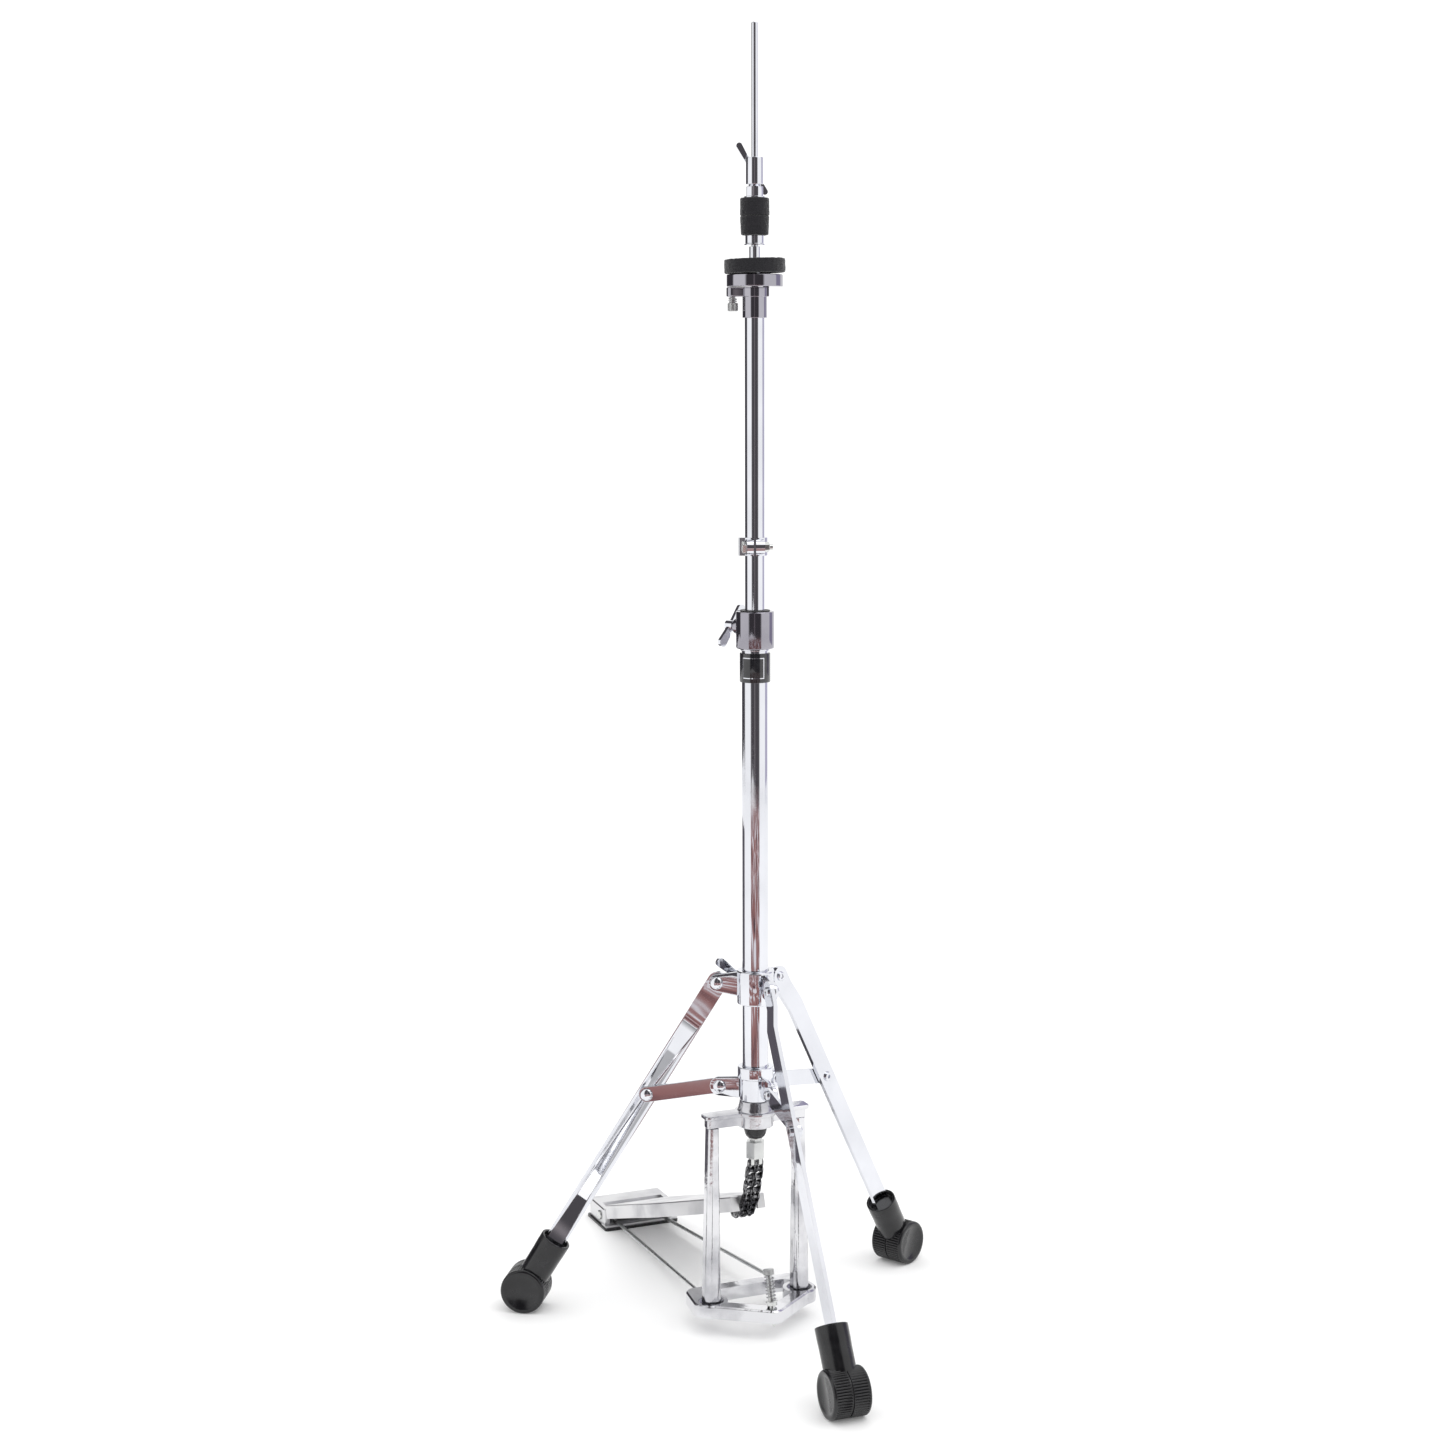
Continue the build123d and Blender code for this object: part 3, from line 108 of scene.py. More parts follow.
def chrome(name, color, smudge_color, roughness=(0.03, 0.13), ripple=0.05):
    """Chrome plate: hand smudges, hairline scratches and the slight ripple of the polished steel."""
    material, shader, nodes, links = new_material(name, color, METAL, roughness[0])
    smudge = noise_field(nodes, links, 16, 6, distortion=0.6)
    hairline = noise_field(nodes, links, 900, 2, stretch=(1, 1, 0.03))
    wave = noise_field(nodes, links, 38, 2)
    links.new(ramp(nodes, links, smudge, [(0.35, color), (0.75, smudge_color)]), shader.inputs["Base Color"])
    links.new(ramp(nodes, links, smudge, [(0.42, roughness[0]), (0.72, roughness[1])]),
              shader.inputs["Roughness"])
    add_bump(nodes, links, shader, [(wave, ripple, 0.0006), (hairline, 0.02, 0.0001)])
    return material


def cast_metal(name, color, dark, roughness, wave_scale, wave_strength, grain_strength):
    """A casting: wavy polished skin, fine grain and darker, rougher patches laid at random by a noise cloud.
    """
    material, shader, nodes, links = new_material(name, color, METAL, roughness[0])
    wave = noise_field(nodes, links, wave_scale, 3, distortion=0.4)
    grain = noise_field(nodes, links, 1400, 3)
    cloud = noise_field(nodes, links, 22, 6)
    links.new(ramp(nodes, links, cloud, [(0.3, dark), (0.55, color)]), shader.inputs["Base Color"])
    links.new(ramp(nodes, links, cloud, [(0.35, roughness[1]), (0.65, roughness[0])]),
              shader.inputs["Roughness"])
    add_bump(nodes, links, shader, [(wave, wave_strength, 0.002), (grain, grain_strength, 0.00015)])
    return material


def black_oxide(name):
    """Oiled black chain steel with bright patches, partly rubbed wear and partly painted glints."""
    material, shader, nodes, links = new_material(name, (0.05, 0.05, 0.055), METAL, 0.25)
    wear_and_glint = noise_field(nodes, links, 260, 4)
    # Bright patches in the base colour: rubbed bare steel, and partly painted glints in place of the chain's
    # highlights.
    links.new(ramp(nodes, links, wear_and_glint, [(0.45, (0.035, 0.035, 0.04)), (0.72, (0.38, 0.38, 0.39))]),
              shader.inputs["Base Color"])
    links.new(ramp(nodes, links, wear_and_glint, [(0.35, 0.34), (0.7, 0.16)]), shader.inputs["Roughness"])
    add_bump(nodes, links, shader, [(wear_and_glint, 0.12, 0.0002)])
    return material


def gloss_black(name):
    """Gloss moulding: deep black with a faint orange peel, dust and rub marks."""
    material, shader, nodes, links = new_material(name, (0.012, 0.012, 0.014), NOT_METAL, 0.09)
    shader.inputs["Coat Weight"].default_value = 0.6
    shader.inputs["Coat Roughness"].default_value = 0.04
    peel = noise_field(nodes, links, 420, 2)
    marks = noise_field(nodes, links, 60, 6)
    links.new(ramp(nodes, links, marks, [(0.45, (0.009, 0.009, 0.011)), (0.8, (0.03, 0.03, 0.034))]),
              shader.inputs["Base Color"])
    links.new(ramp(nodes, links, marks, [(0.4, 0.07), (0.75, 0.22)]), shader.inputs["Roughness"])
    add_bump(nodes, links, shader, [(peel, 0.04, 0.0002)])
    return material


def rubber(name):
    """Moulded rubber: semi-gloss skin with scuffs and a fine pebble."""
    material, shader, nodes, links = new_material(name, (0.008, 0.008, 0.009), NOT_METAL, 0.22)
    scuff = noise_field(nodes, links, 70, 7)
    pebble = noise_field(nodes, links, 1100, 2)
    links.new(ramp(nodes, links, scuff, [(0.4, (0.005, 0.005, 0.006)), (0.8, (0.016, 0.016, 0.018))]),
              shader.inputs["Base Color"])
    links.new(ramp(nodes, links, scuff, [(0.35, 0.16), (0.75, 0.34)]), shader.inputs["Roughness"])
    add_bump(nodes, links, shader, [(scuff, 0.05, 0.0006), (pebble, 0.12, 0.0001)])
    return material


def felt(name):
    """Pressed wool felt: matted fibres, lint and a soft sheen."""
    material, shader, nodes, links = new_material(name, (0.012, 0.012, 0.014), NOT_METAL, 1.0)
    shader.inputs["Sheen Weight"].default_value = 0.28
    shader.inputs["Sheen Roughness"].default_value = 0.45
    shader.inputs["Specular IOR Level"].default_value = 0.15
    fibre = noise_field(nodes, links, 1500, 6, distortion=2.5)
    clump = noise_field(nodes, links, 240, 5, distortion=1.0)
    links.new(ramp(nodes, links, fibre, [(0.35, (0.006, 0.006, 0.007)), (0.72, (0.036, 0.035, 0.04))]),
              shader.inputs["Base Color"])
    add_bump(nodes, links, shader, [(clump, 0.5, 0.0007), (fibre, 0.7, 0.0003)])
    return material


def plain_plastic(name, color):
    """Moulded nylon with a matte grain."""
    material, shader, nodes, links = new_material(name, color, NOT_METAL, 0.45)
    grain = noise_field(nodes, links, 900, 3)
    links.new(ramp(nodes, links, grain, [(0.3, 0.38), (0.7, 0.55)]), shader.inputs["Roughness"])
    add_bump(nodes, links, shader, [(grain, 0.1, 0.0001)])
    return material


MATERIALS = {
    "chrome": chrome("chrome_plate", (0.76, 0.77, 0.81), (0.66, 0.67, 0.71)),
    "dark_chrome": chrome("dark_chrome_plate", (0.40, 0.39, 0.43), (0.30, 0.29, 0.33), (0.03, 0.10)),
    "zinc_steel": cast_metal("zinc_plate", (0.66, 0.67, 0.66), (0.48, 0.49, 0.50), (0.22, 0.38),
                             160, 0.05, 0.12),
    "spring_steel": cast_metal("spring_wire", (0.55, 0.55, 0.56), (0.34, 0.34, 0.35), (0.16, 0.3),
                               300, 0.04, 0.05),
    "black_chain": black_oxide("black_oxide_chain"),
    "cast_aluminium": cast_metal("polished_casting", (0.72, 0.72, 0.74), (0.38, 0.38, 0.41), (0.08, 0.2),
                                 75, 0.22, 0.05),
    "satin_aluminium": cast_metal("satin_casting", (0.68, 0.68, 0.69), (0.52, 0.52, 0.54), (0.28, 0.42),
                                  60, 0.08, 0.16),
    "black_gloss": gloss_black("black_gloss_moulding"),
    "nylon": plain_plastic("black_nylon", (0.025, 0.025, 0.026)),
    "rubber": rubber("black_rubber"),
    "felt": felt("black_felt"),
}

for node, obj in frame["nodes"].items():
    for index in range(len(obj.material_slots)):
        obj.material_slots[index].material = MATERIALS[SLOT_OF[node]]


# ---------- mesh helpers ----------
CAD_WELD = 2e-6
FLAT_ANGLE = 0.4
HARD_EDGE = 30
PLATE_EDGE = 40
ROUND_BEVEL = 0.5
SIDE_SHARE = 0.45


def finish_mesh(name, bm, sharp=38):
    """A mesh from bm with smooth shading, and hard edges where faces meet at more than sharp degrees."""
    bmesh.ops.recalc_face_normals(bm, faces=bm.faces)
    mesh = bpy.data.meshes.new(name)
    bm.to_mesh(mesh)
    bm.free()
    mesh.shade_smooth()
    mesh.set_sharp_from_angle(angle=radians(sharp))
    return mesh


def stand_in(name, mesh, *nodes, of=None, material=None):
    """A piece in the scene that rides with, and is finished like, the first CAD node it stands for."""
    model = of or nodes[0]
    obj = bpy.data.objects.new(name, mesh)
    bpy.context.scene.collection.objects.link(obj)
    mesh.materials.clear()
    mesh.materials.append(material or MATERIALS[SLOT_OF[model]])
    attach(obj, BODY_OF[model])
    if nodes:
        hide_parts(*nodes)
    return obj


def refined(node, edge_mm=0.4):
    """The CAD node's own shape with its facets merged and every hard edge rounded a little."""
    bm = bmesh.new()
    bm.from_mesh(frame["nodes"][node].data)
    bmesh.ops.remove_doubles(bm, verts=bm.verts, dist=CAD_WELD)
    bmesh.ops.dissolve_limit(bm, angle_limit=radians(FLAT_ANGLE), verts=bm.verts, edges=bm.edges)
    hard = [edge for edge in bm.edges
            if len(edge.link_faces) == 2 and edge.calc_face_angle(0) > radians(HARD_EDGE)]
    bmesh.ops.bevel(bm, geom=hard, offset=edge_mm * MM, segments=2, profile=ROUND_BEVEL, affect="EDGES",
                    clamp_overlap=True)
    mesh = finish_mesh(node + "_finished", bm)
    if "custom_normal" in mesh.attributes:
        mesh.attributes.remove(mesh.attributes["custom_normal"])
    obj = stand_in(node + "_finished", mesh, node)
    weighted = obj.modifiers.new("even_normals", "WEIGHTED_NORMAL")
    weighted.keep_sharp = True
    return obj


def rounded(profile, radius, steps=4):
    """A closed outline with each corner eased by up to radius."""
    outline = []
    count = len(profile)
    for index, corner in enumerate(profile):
        here = Vector(corner)
        back = Vector(profile[index - 1]) - here
        ahead = Vector(profile[(index + 1) % count]) - here
        if here.x == 0 or back.length == 0 or ahead.length == 0:
            outline.append(here)
            continue
        reach = min(radius, SIDE_SHARE * back.length, SIDE_SHARE * ahead.length)
        start = here + back.normalized() * reach
        end = here + ahead.normalized() * reach
        for step in range(steps + 1):
            share = step / steps
            outline.append((1 - share) ** 2 * start + 2 * share * (1 - share) * here + share ** 2 * end)
    return outline


def turned(profile, radius=0.4, segments=96, place=Matrix.Identity(4)):
    """A bmesh turned from a closed outline of (radius, height) in millimetres about the local Z of place."""
    bm = bmesh.new()
    rings = []
    outline = rounded(profile, radius)
    for turn in range(segments):
        angle = 2 * pi * turn / segments
        rings.append([bm.verts.new(place @ Vector((point.x * cos(angle) * MM, point.x * sin(angle) * MM,
                                                   point.y * MM)))
                      for point in outline])
    for turn, ring in enumerate(rings):
        following = rings[(turn + 1) % segments]
        for index in range(len(outline)):
            after = (index + 1) % len(outline)
            if outline[index].x == 0 and outline[after].x == 0:
                continue
            bm.faces.new((ring[index], ring[after], following[after], following[index]))
    bmesh.ops.remove_doubles(bm, verts=bm.verts, dist=1e-7)
    return bm


def merged(*parts):
    """One bmesh holding all the parts."""
    whole = parts[0]
    for part in parts[1:]:
        carrier = bpy.data.meshes.new("carrier")
        part.to_mesh(carrier)
        part.free()
        whole.from_mesh(carrier)
        bpy.data.meshes.remove(carrier)
    return whole


def hull(points):
    """The convex outline round some 2D points."""
    ordered = sorted(set((round(x, 5), round(y, 5)) for x, y in points))

    def half(sequence):
        chain = []
        for p in sequence:
            while len(chain) > 1 and ((chain[-1][0] - chain[-2][0]) * (p[1] - chain[-2][1])
                                      - (chain[-1][1] - chain[-2][1]) * (p[0] - chain[-2][0])) <= 0:
                chain.pop()
            chain.append(p)
        return chain[:-1]

    return half(ordered) + half(reversed(ordered))


def circle_points(x, y, radius, count=48):
    """Points evenly round a circle."""
    turns = [2 * pi * i / count for i in range(count)]
    return [(x + radius * cos(turn), y + radius * sin(turn)) for turn in turns]


def ring_outline(bore, outer, low, high):
    """The turned outline of a plain ring or tube."""
    return [(bore, low), (outer, low), (outer, high), (bore, high)]


def ring_of(bm, place, height, radii):
    """A ring of vertices round the local Z of place, one for each radius, in millimetres."""
    ring = []
    for i, radius in enumerate(radii):
        angle = 2 * pi * i / len(radii)
        ring.append(bm.verts.new(place @ Vector((radius * cos(angle) * MM, radius * sin(angle) * MM,
                                                 height * MM))))
    return ring


def join_rings(bm, rings):
    """Quads between each ring of vertices and the next."""
    for below, above in zip(rings, rings[1:]):
        count = len(below)
        for i in range(count):
            bm.faces.new((below[i], below[(i + 1) % count], above[(i + 1) % count], above[i]))


def plate(outline, thickness, place, edge_mm=0.5):
    """A flat plate of a millimetre outline, thick along the local Z of place, with eased edges."""
    bm = bmesh.new()
    low = [bm.verts.new(place @ Vector((x * MM, y * MM, 0))) for x, y in outline]
    high = [bm.verts.new(place @ Vector((x * MM, y * MM, thickness * MM))) for x, y in outline]
    bm.faces.new(low[::-1])
    bm.faces.new(high)
    join_rings(bm, [low, high])
    bmesh.ops.recalc_face_normals(bm, faces=bm.faces)
    hard = [edge for edge in bm.edges if edge.calc_face_angle(0) > radians(PLATE_EDGE)]
    bmesh.ops.bevel(bm, geom=hard, offset=edge_mm * MM, segments=3, profile=ROUND_BEVEL, affect="EDGES",
                    clamp_overlap=True)
    return bm


def knurled(radius, low, high, teeth, depth, place=Matrix.Identity(4)):
    """A round head with straight knurling between two eased ends."""
    bm = bmesh.new()
    cuts = [depth, 0.0, 0.0, depth] * teeth
    levels = [(low, 0.82), (low + 0.5, 0.97), (low + 0.9, 1.0),
              (high - 0.9, 1.0), (high - 0.5, 0.97), (high, 0.82)]
    rings = []
    for height, share in levels:
        full_depth = 1.0 if share == 1.0 else 0.0
        rings.append(ring_of(bm, place, height, [radius * share - cut * full_depth for cut in cuts]))
    join_rings(bm, rings)
    bm.faces.new(rings[0][::-1])
    bm.faces.new(rings[-1])
    return bm


def axes(origin_mm, x_axis, z_axis):
    """A placement with its origin in millimetres and its x and z axes."""
    x_axis, z_axis = Vector(x_axis).normalized(), Vector(z_axis).normalized()
    y_axis = z_axis.cross(x_axis)
    rows = [(*row, o * MM) for row, o in zip(zip(x_axis, y_axis, z_axis), origin_mm)]
    return Matrix((*rows, (0, 0, 0, 1)))


def outward(azimuth):
    """The level direction away from the column at an azimuth in degrees."""
    return Vector((cos(radians(azimuth)), sin(radians(azimuth)), 0))


def around(radius, azimuth, height):
    """A point in millimetres at a distance from the column's axis."""
    return outward(azimuth) * radius + Vector((0, 0, height))


def radial(azimuth, tangent=0.0):
    """The upright plane through the column at an azimuth, moved anticlockwise; its normal is clockwise."""
    out = outward(azimuth)
    anticlockwise = outward(azimuth + 90)
    return axes(anticlockwise * tangent, out, -anticlockwise)


# ---------- column ----------
LOWER_TUBE_R = 12.7
UPPER_TUBE_R = 9.525
ROD_R = 3.0
ROD_TOP = 1250
CLAMP_SCREW_Z = 691
CLAMP_SCREW_AZIMUTH = 292
SLEEVE_R = 14.7
BOSS_R = 8
BOSS_HOLE_R = 3.2
BOSS_HOLE_FLOOR = 20


def tube(node, outer, bore, low, high):
    """A tube that stands for a CAD tube."""
    shell = turned(ring_outline(bore, outer, low, high), 0.3, 128)
    stand_in(node + "_shell", finish_mesh(node, shell), node)


def screw_boss(near, far, azimuth, height):
    """A round boss that stands out from the column, with a hole for a wing screw's shank."""
    outline = [(0, near), (BOSS_R, near), (BOSS_R, far), (BOSS_HOLE_R, far), (BOSS_HOLE_R, BOSS_HOLE_FLOOR),
               (0, BOSS_HOLE_FLOOR)]
    return turned(outline, 0.7, 64, axes((0, 0, height), (0, 0, 1), outward(azimuth)))


def build_column():
    """The two tubes, the rod, the height clamp with its sleeve, the memory lock and the wing screws."""
    tube("lower_tube", LOWER_TUBE_R, 11.2, 207, 684)
    tube("upper_tube", UPPER_TUBE_R, 8.3, 560, 998)
    rod = turned([(0, 175), (ROD_R, 175), (ROD_R, ROD_TOP - 0.7), (2.2, ROD_TOP), (0, ROD_TOP)], 0.2, 64)
    stand_in("pull_rod_bar", finish_mesh("pull_rod", rod), "pull_rod")
    collar = turned(ring_outline(LOWER_TUBE_R, 18.2, 671.5, 707), 1.3, 128)
    boss = screw_boss(13.2, 23.2, CLAMP_SCREW_AZIMUTH, CLAMP_SCREW_Z)
    stand_in("clamp_collar_shell", finish_mesh("clamp_collar", merged(collar, boss)), "clamp_collar")
    lip = turned(ring_outline(LOWER_TUBE_R, 14.2, 669.6, 671.3), 0.3, 128)
    stand_in("clamp_lip", finish_mesh("clamp_lip", lip), of="label_sleeve", material=MATERIALS["chrome"])
    sleeve = turned(ring_outline(LOWER_TUBE_R + 0.02, SLEEVE_R, 639.5, 667.5), 0.5, 128)
    stand_in("label_sleeve_shell", finish_mesh("label_sleeve", sleeve), "label_sleeve")
    label_frame()
    refined("memory_lock", 0.6)
    refined("memory_lock_screw", 0.4)
    refined("clamp_bush", 0.3)
    for node in ("height_wing_screw", "tripod_wing_screw", "clutch_wing_screw"):
        refined(node, 0.8)


def label_frame(azimuth=58.0, half_turn=44.0, low=643.5, high=663.5, band=0.9, proud=0.12):
    """A blank raised border on the sleeve, in place of a printed plate."""
    bm = bmesh.new()
    root, crest = SLEEVE_R - 0.2, SLEEVE_R + proud

    def patch(turn_low, turn_high, height_low, height_high):
        steps = max(2, int((turn_high - turn_low) / 2))
        columns = []
        for step in range(steps + 1):
            way = outward(turn_low + (turn_high - turn_low) * step / steps)
            columns.append([bm.verts.new((way * r + Vector((0, 0, h))) * MM)
                            for r, h in ((root, height_low), (crest, height_low),
                                         (crest, height_high), (root, height_high))])
        for left, right in zip(columns, columns[1:]):
            for i in range(4):
                bm.faces.new((left[i], right[i], right[(i + 1) % 4], left[(i + 1) % 4]))
        bm.faces.new(columns[0])
        bm.faces.new(columns[-1][::-1])

    edge_turn = degrees(band / SLEEVE_R)
    left, right = azimuth - half_turn, azimuth + half_turn
    patch(left, right, low, low + band)
    patch(left, right, high - band, high)
    patch(left, left + edge_turn, low + band, high - band)
    patch(right - edge_turn, right, low + band, high - band)
    stand_in("label_border", finish_mesh("label_border", bm), of="label_sleeve", material=MATERIALS["chrome"])


# ---------- seat and clutch ----------
TILTER_AZIMUTH = 336.0
TILTER_REACH = 20.5
NECK_BOTTOM = 1001
NECK_TOP = 1009.7
SEAT_BOTTOM = 1010
SEAT_TOP = 1021.3
STEM_R = 5.2
CLUTCH_TUBE_BOTTOM = 1048.8
CLUTCH_TUBE_TOP = 1112.4
CLUTCH_TUBE_R = 5.9
THREAD_PITCH = 1.25
THREAD_FROM = 1050.0
THREAD_TO = 1110
FELT_BORE_R = 6.1
FELT_LEAN_AZIMUTH = 66


def ruffled(bm, amount_mm, scale, seed):
    """Moves the points of a soft piece in and out a little, as pressed felt is never quite true."""
    bm.normal_update()
    shift = Vector((seed * 7.3, seed * 3.1, seed * 5.7))
    for vert in bm.verts:
        push = noise.noise(vert.co * scale + shift) + 0.5 * noise.noise(vert.co * scale * 3.1 + shift)
        vert.co += vert.normal * push * amount_mm * MM


def felt_ring(name, node, profile, seed, tilt=0.0):
    """A dense felt ring with crowned rims, soft dents and a matted edge."""
    loop = rounded(profile, 1.5, 5)
    dense = []
    for index, point in enumerate(loop):
        following = loop[(index + 1) % len(loop)]
        steps = max(1, int((following - point).length / 0.9))
        dense += [tuple(point.lerp(following, step / steps)) for step in range(steps)]
    bm = turned(dense, 0.0001, 160)
    ruffled(bm, 0.28, 260, seed)
    if tilt:
        middle = Vector((0, 0, sum(p[1] for p in profile) / len(profile) * MM))
        lean = Matrix.Rotation(radians(tilt), 3, outward(FELT_LEAN_AZIMUTH))
        bmesh.ops.rotate(bm, verts=bm.verts, cent=middle, matrix=lean)
    obj = stand_in(name, finish_mesh(name, bm, 80), node)


def build_seat():
    """The tilting seat on the upper tube's end, with its felt and its tilter screw."""
    sleeve = turned([(9.6, 981.5), (11.6, 981.5), (11.6, NECK_BOTTOM), (12.3, NECK_BOTTOM), (12.3, NECK_TOP),
                     (5, NECK_TOP), (5, 1000), (9.6, 1000)], 0.5, 128)
    tilt_frame = axes((0, 0, NECK_BOTTOM), outward(TILTER_AZIMUTH), (0, 0, 1))
    arm_outline = hull(circle_points(6, 0, 6) + circle_points(TILTER_REACH, 0, 6))
    arm = plate(arm_outline, NECK_TOP - NECK_BOTTOM, tilt_frame, 0.8)
    lug = plate([(-13.5, -4), (-7.5, -4), (-7.5, 4), (-13.5, 4)], 13.6, tilt_frame, 0.8)
    stand_in("seat_sleeve_shell", finish_mesh("seat_sleeve", merged(sleeve, arm, lug)), "seat_sleeve")
    disc = turned([(4.4, SEAT_BOTTOM), (26.5, SEAT_BOTTOM), (26.5, SEAT_TOP), (10, SEAT_TOP), (10, 1022.5),
                   (4.4, 1022.5)], 1.0, 160)
    stand_in("seat_disc_shell", finish_mesh("seat_disc", disc), "seat_disc")
    stem = turned(ring_outline(4.3, STEM_R, 1014, 1047), 0.3, 96)
    stand_in("seat_stem_tube", finish_mesh("seat_stem", stem), "seat_stem")
    felt_ring("seat_felt_pad", "seat_felt", ring_outline(STEM_R + 0.2, 28.4, 1022.8, 1035.8), 1, tilt=1.5)
    place = axes(around(TILTER_REACH, TILTER_AZIMUTH, 0), (1, 0, 0), (0, 0, 1))
    head = knurled(5, 987.5, 995.5, 28, 0.35, place)
    shank = turned([(0, 995), (2.5, 995), (2.5, NECK_TOP), (0, NECK_TOP)], 0.2, 48, place)
    stand_in("tilter_knob", finish_mesh("tilter_screw", merged(head, shank), 25), "tilter_screw")


def build_clutch():
    """The clutch on the rod: body, threaded tube, two nuts and two felts."""
    body = turned(ring_outline(ROD_R + 0.05, 8.25, 1103.5, 1128.3), 0.7, 96)
    stand_in("clutch_body_shell", finish_mesh("clutch_body", body), "clutch_body")
    threads = [(3.4, CLUTCH_TUBE_BOTTOM), (CLUTCH_TUBE_R, CLUTCH_TUBE_BOTTOM)]
    level = THREAD_FROM
    while level < THREAD_TO:
        threads += [(5.99, level), (5.55, level + THREAD_PITCH / 2)]
        level += THREAD_PITCH
    threads += [(CLUTCH_TUBE_R, CLUTCH_TUBE_TOP), (3.4, CLUTCH_TUBE_TOP)]
    stand_in("clutch_tube_thread", finish_mesh("clutch_tube", turned(threads, 0.15, 72)), "clutch_tube")
    octagon = plate(circle_points(0, 0, 8.4, 8), 9, axes((0, 0, 1092.7), (1, 0, 0), (0, 0, 1)), 0.5)
    washer = turned(ring_outline(6.02, 10, 1091.5, 1092.7), 0.3, 96)
    stand_in("clutch_nut_body", finish_mesh("clutch_upper_nut", merged(octagon, washer), 20),
             "clutch_upper_nut")
    bottom = turned([(3.6, 1048.2), (9.85, 1048.2), (9.85, 1049.4), (8.9, 1049.8), (8.9, 1057.2),
                     (3.6, 1057.2)], 0.3, 96)
    stand_in("clutch_bottom_nut_shell", finish_mesh("clutch_bottom_nut", bottom), "clutch_bottom_nut")
    low_felt = [(FELT_BORE_R, 1057.4), (12.9, 1057.4), (13.6, 1074.9), (FELT_BORE_R, 1074.9)]
    high_felt = [(FELT_BORE_R, 1075.1), (13.6, 1075.1), (13.5, 1091.4), (FELT_BORE_R, 1091.4)]
    felt_ring("clutch_felt_low", "clutch_felt_lower", low_felt, 2)
    felt_ring("clutch_felt_high", "clutch_felt_upper", high_felt, 3)


# ---------- tripod ----------
LEG_AZIMUTHS = (87.0, 207.0, 327.0)
LEG_LEAN = radians(31.4)
LEG_PIVOT = (37.0, 345.0)
BRACE_PIVOT = (34.4, 242.0)
RIVET_DOWN_LEG = 136.3
LEG_LENGTH = 377.8
HALF_LEG = 2.0
GAP = 0.3
EAR = 4.0
RIVET_HEAD_R = 6.25
TRIPOD_BORE_R = 12.75
TRIPOD_SCREW_AZIMUTH = 270
TRIPOD_SCREW_Z = 342


def down_the_leg(distance):
    """The (radius, height) of a point on a leg's middle line, at a distance from its pivot."""
    return LEG_PIVOT[0] + distance * sin(LEG_LEAN), LEG_PIVOT[1] - distance * cos(LEG_LEAN)


RIVET_POINT = down_the_leg(RIVET_DOWN_LEG)
FOOT_POINT = down_the_leg(LEG_LENGTH)


def ears(pivot, end_r, root_low, root_high, root_r):
    """Three lugs for a collar, each a rounded plate with eased edges."""
    parts = []
    for azimuth in LEG_AZIMUTHS:
        root = ring_outline(root_r - 2, root_r + 2, root_low, root_high)
        outline = hull(circle_points(*pivot, end_r, 64) + root)
        parts.append(plate(outline, EAR, radial(azimuth, HALF_LEG + GAP + EAR), 0.5))
    return parts


def dome(place):
    """A rivet's domed head, standing on local Z = 0 and pointing down local -Z."""
    rise = [(RIVET_HEAD_R * cos(radians(turn)), -3.4 * sin(radians(turn)) - 0.2) for turn in range(0, 90, 10)]
    return turned([(0, 0.6), (RIVET_HEAD_R, 0.6)] + rise + [(0, -3.6)], 0.02, 64, place)


def tail(place):
    """The rolled tail of a tubular rivet, standing up local Z."""
    outline = [(0, -0.4), (4.7, -0.4), (4.6, 1.0), (3.6, 1.8), (2.2, 1.7), (1.7, 0.4), (0, 0.2)]
    return turned(outline, 0.3, 48, place)


def at(azimuth, tangent, point):
    """A placement on the leg's plane, moved to a point of it, with local Z clockwise."""
    return radial(azimuth, tangent) @ Matrix.Translation(Vector((point[0] * MM, point[1] * MM, 0)))


def build_tripod():
    """The sliding collar and the lower ring with their lugs, and the rivets, legs, braces and feet."""
    collar = turned(ring_outline(TRIPOD_BORE_R, 18, 325.5, 358.5), 1.5, 128)
    boss = screw_boss(13, 24, TRIPOD_SCREW_AZIMUTH, TRIPOD_SCREW_Z)
    collar_lugs = ears(LEG_PIVOT, 8.2, 332.5, 356.5, 15.5)
    stand_in("upper_collar_shell", finish_mesh("upper_collar", merged(collar, boss, *collar_lugs)),
             "upper_collar")
    ring = turned([(TRIPOD_BORE_R, 229.5), (15.6, 229.5), (15.6, 251.5), (17.6, 251.5), (17.6, 263),
                   (TRIPOD_BORE_R, 263)], 1.0, 128)
    ring_lugs = ears(BRACE_PIVOT, 9.6, 231.5, 252.5, 17)
    stand_in("lower_ring_shell", finish_mesh("lower_ring", merged(ring, *ring_lugs)), "lower_ring")
    head_face = HALF_LEG + GAP + EAR
    for node, pivot, thick in (("collar_rivets", LEG_PIVOT, 4.0), ("ring_rivets", BRACE_PIVOT, 3.4)):
        tail_face = HALF_LEG - thick - GAP
        parts = []
        for azimuth in LEG_AZIMUTHS:
            parts += [dome(at(azimuth, head_face, pivot)), tail(at(azimuth, tail_face, pivot))]
        stand_in(node + "_heads", finish_mesh(node, merged(*parts)), node)
    for number, azimuth in enumerate(LEG_AZIMUTHS, start=1):
        refined(f"leg_{number}", 0.55)
        refined(f"brace_{number}", 0.5)
        head = dome(at(azimuth, HALF_LEG, RIVET_POINT))
        stand_in(f"brace_rivet_{number}_head", finish_mesh("rivet", head), f"brace_rivet_{number}")
        build_foot(number, azimuth)


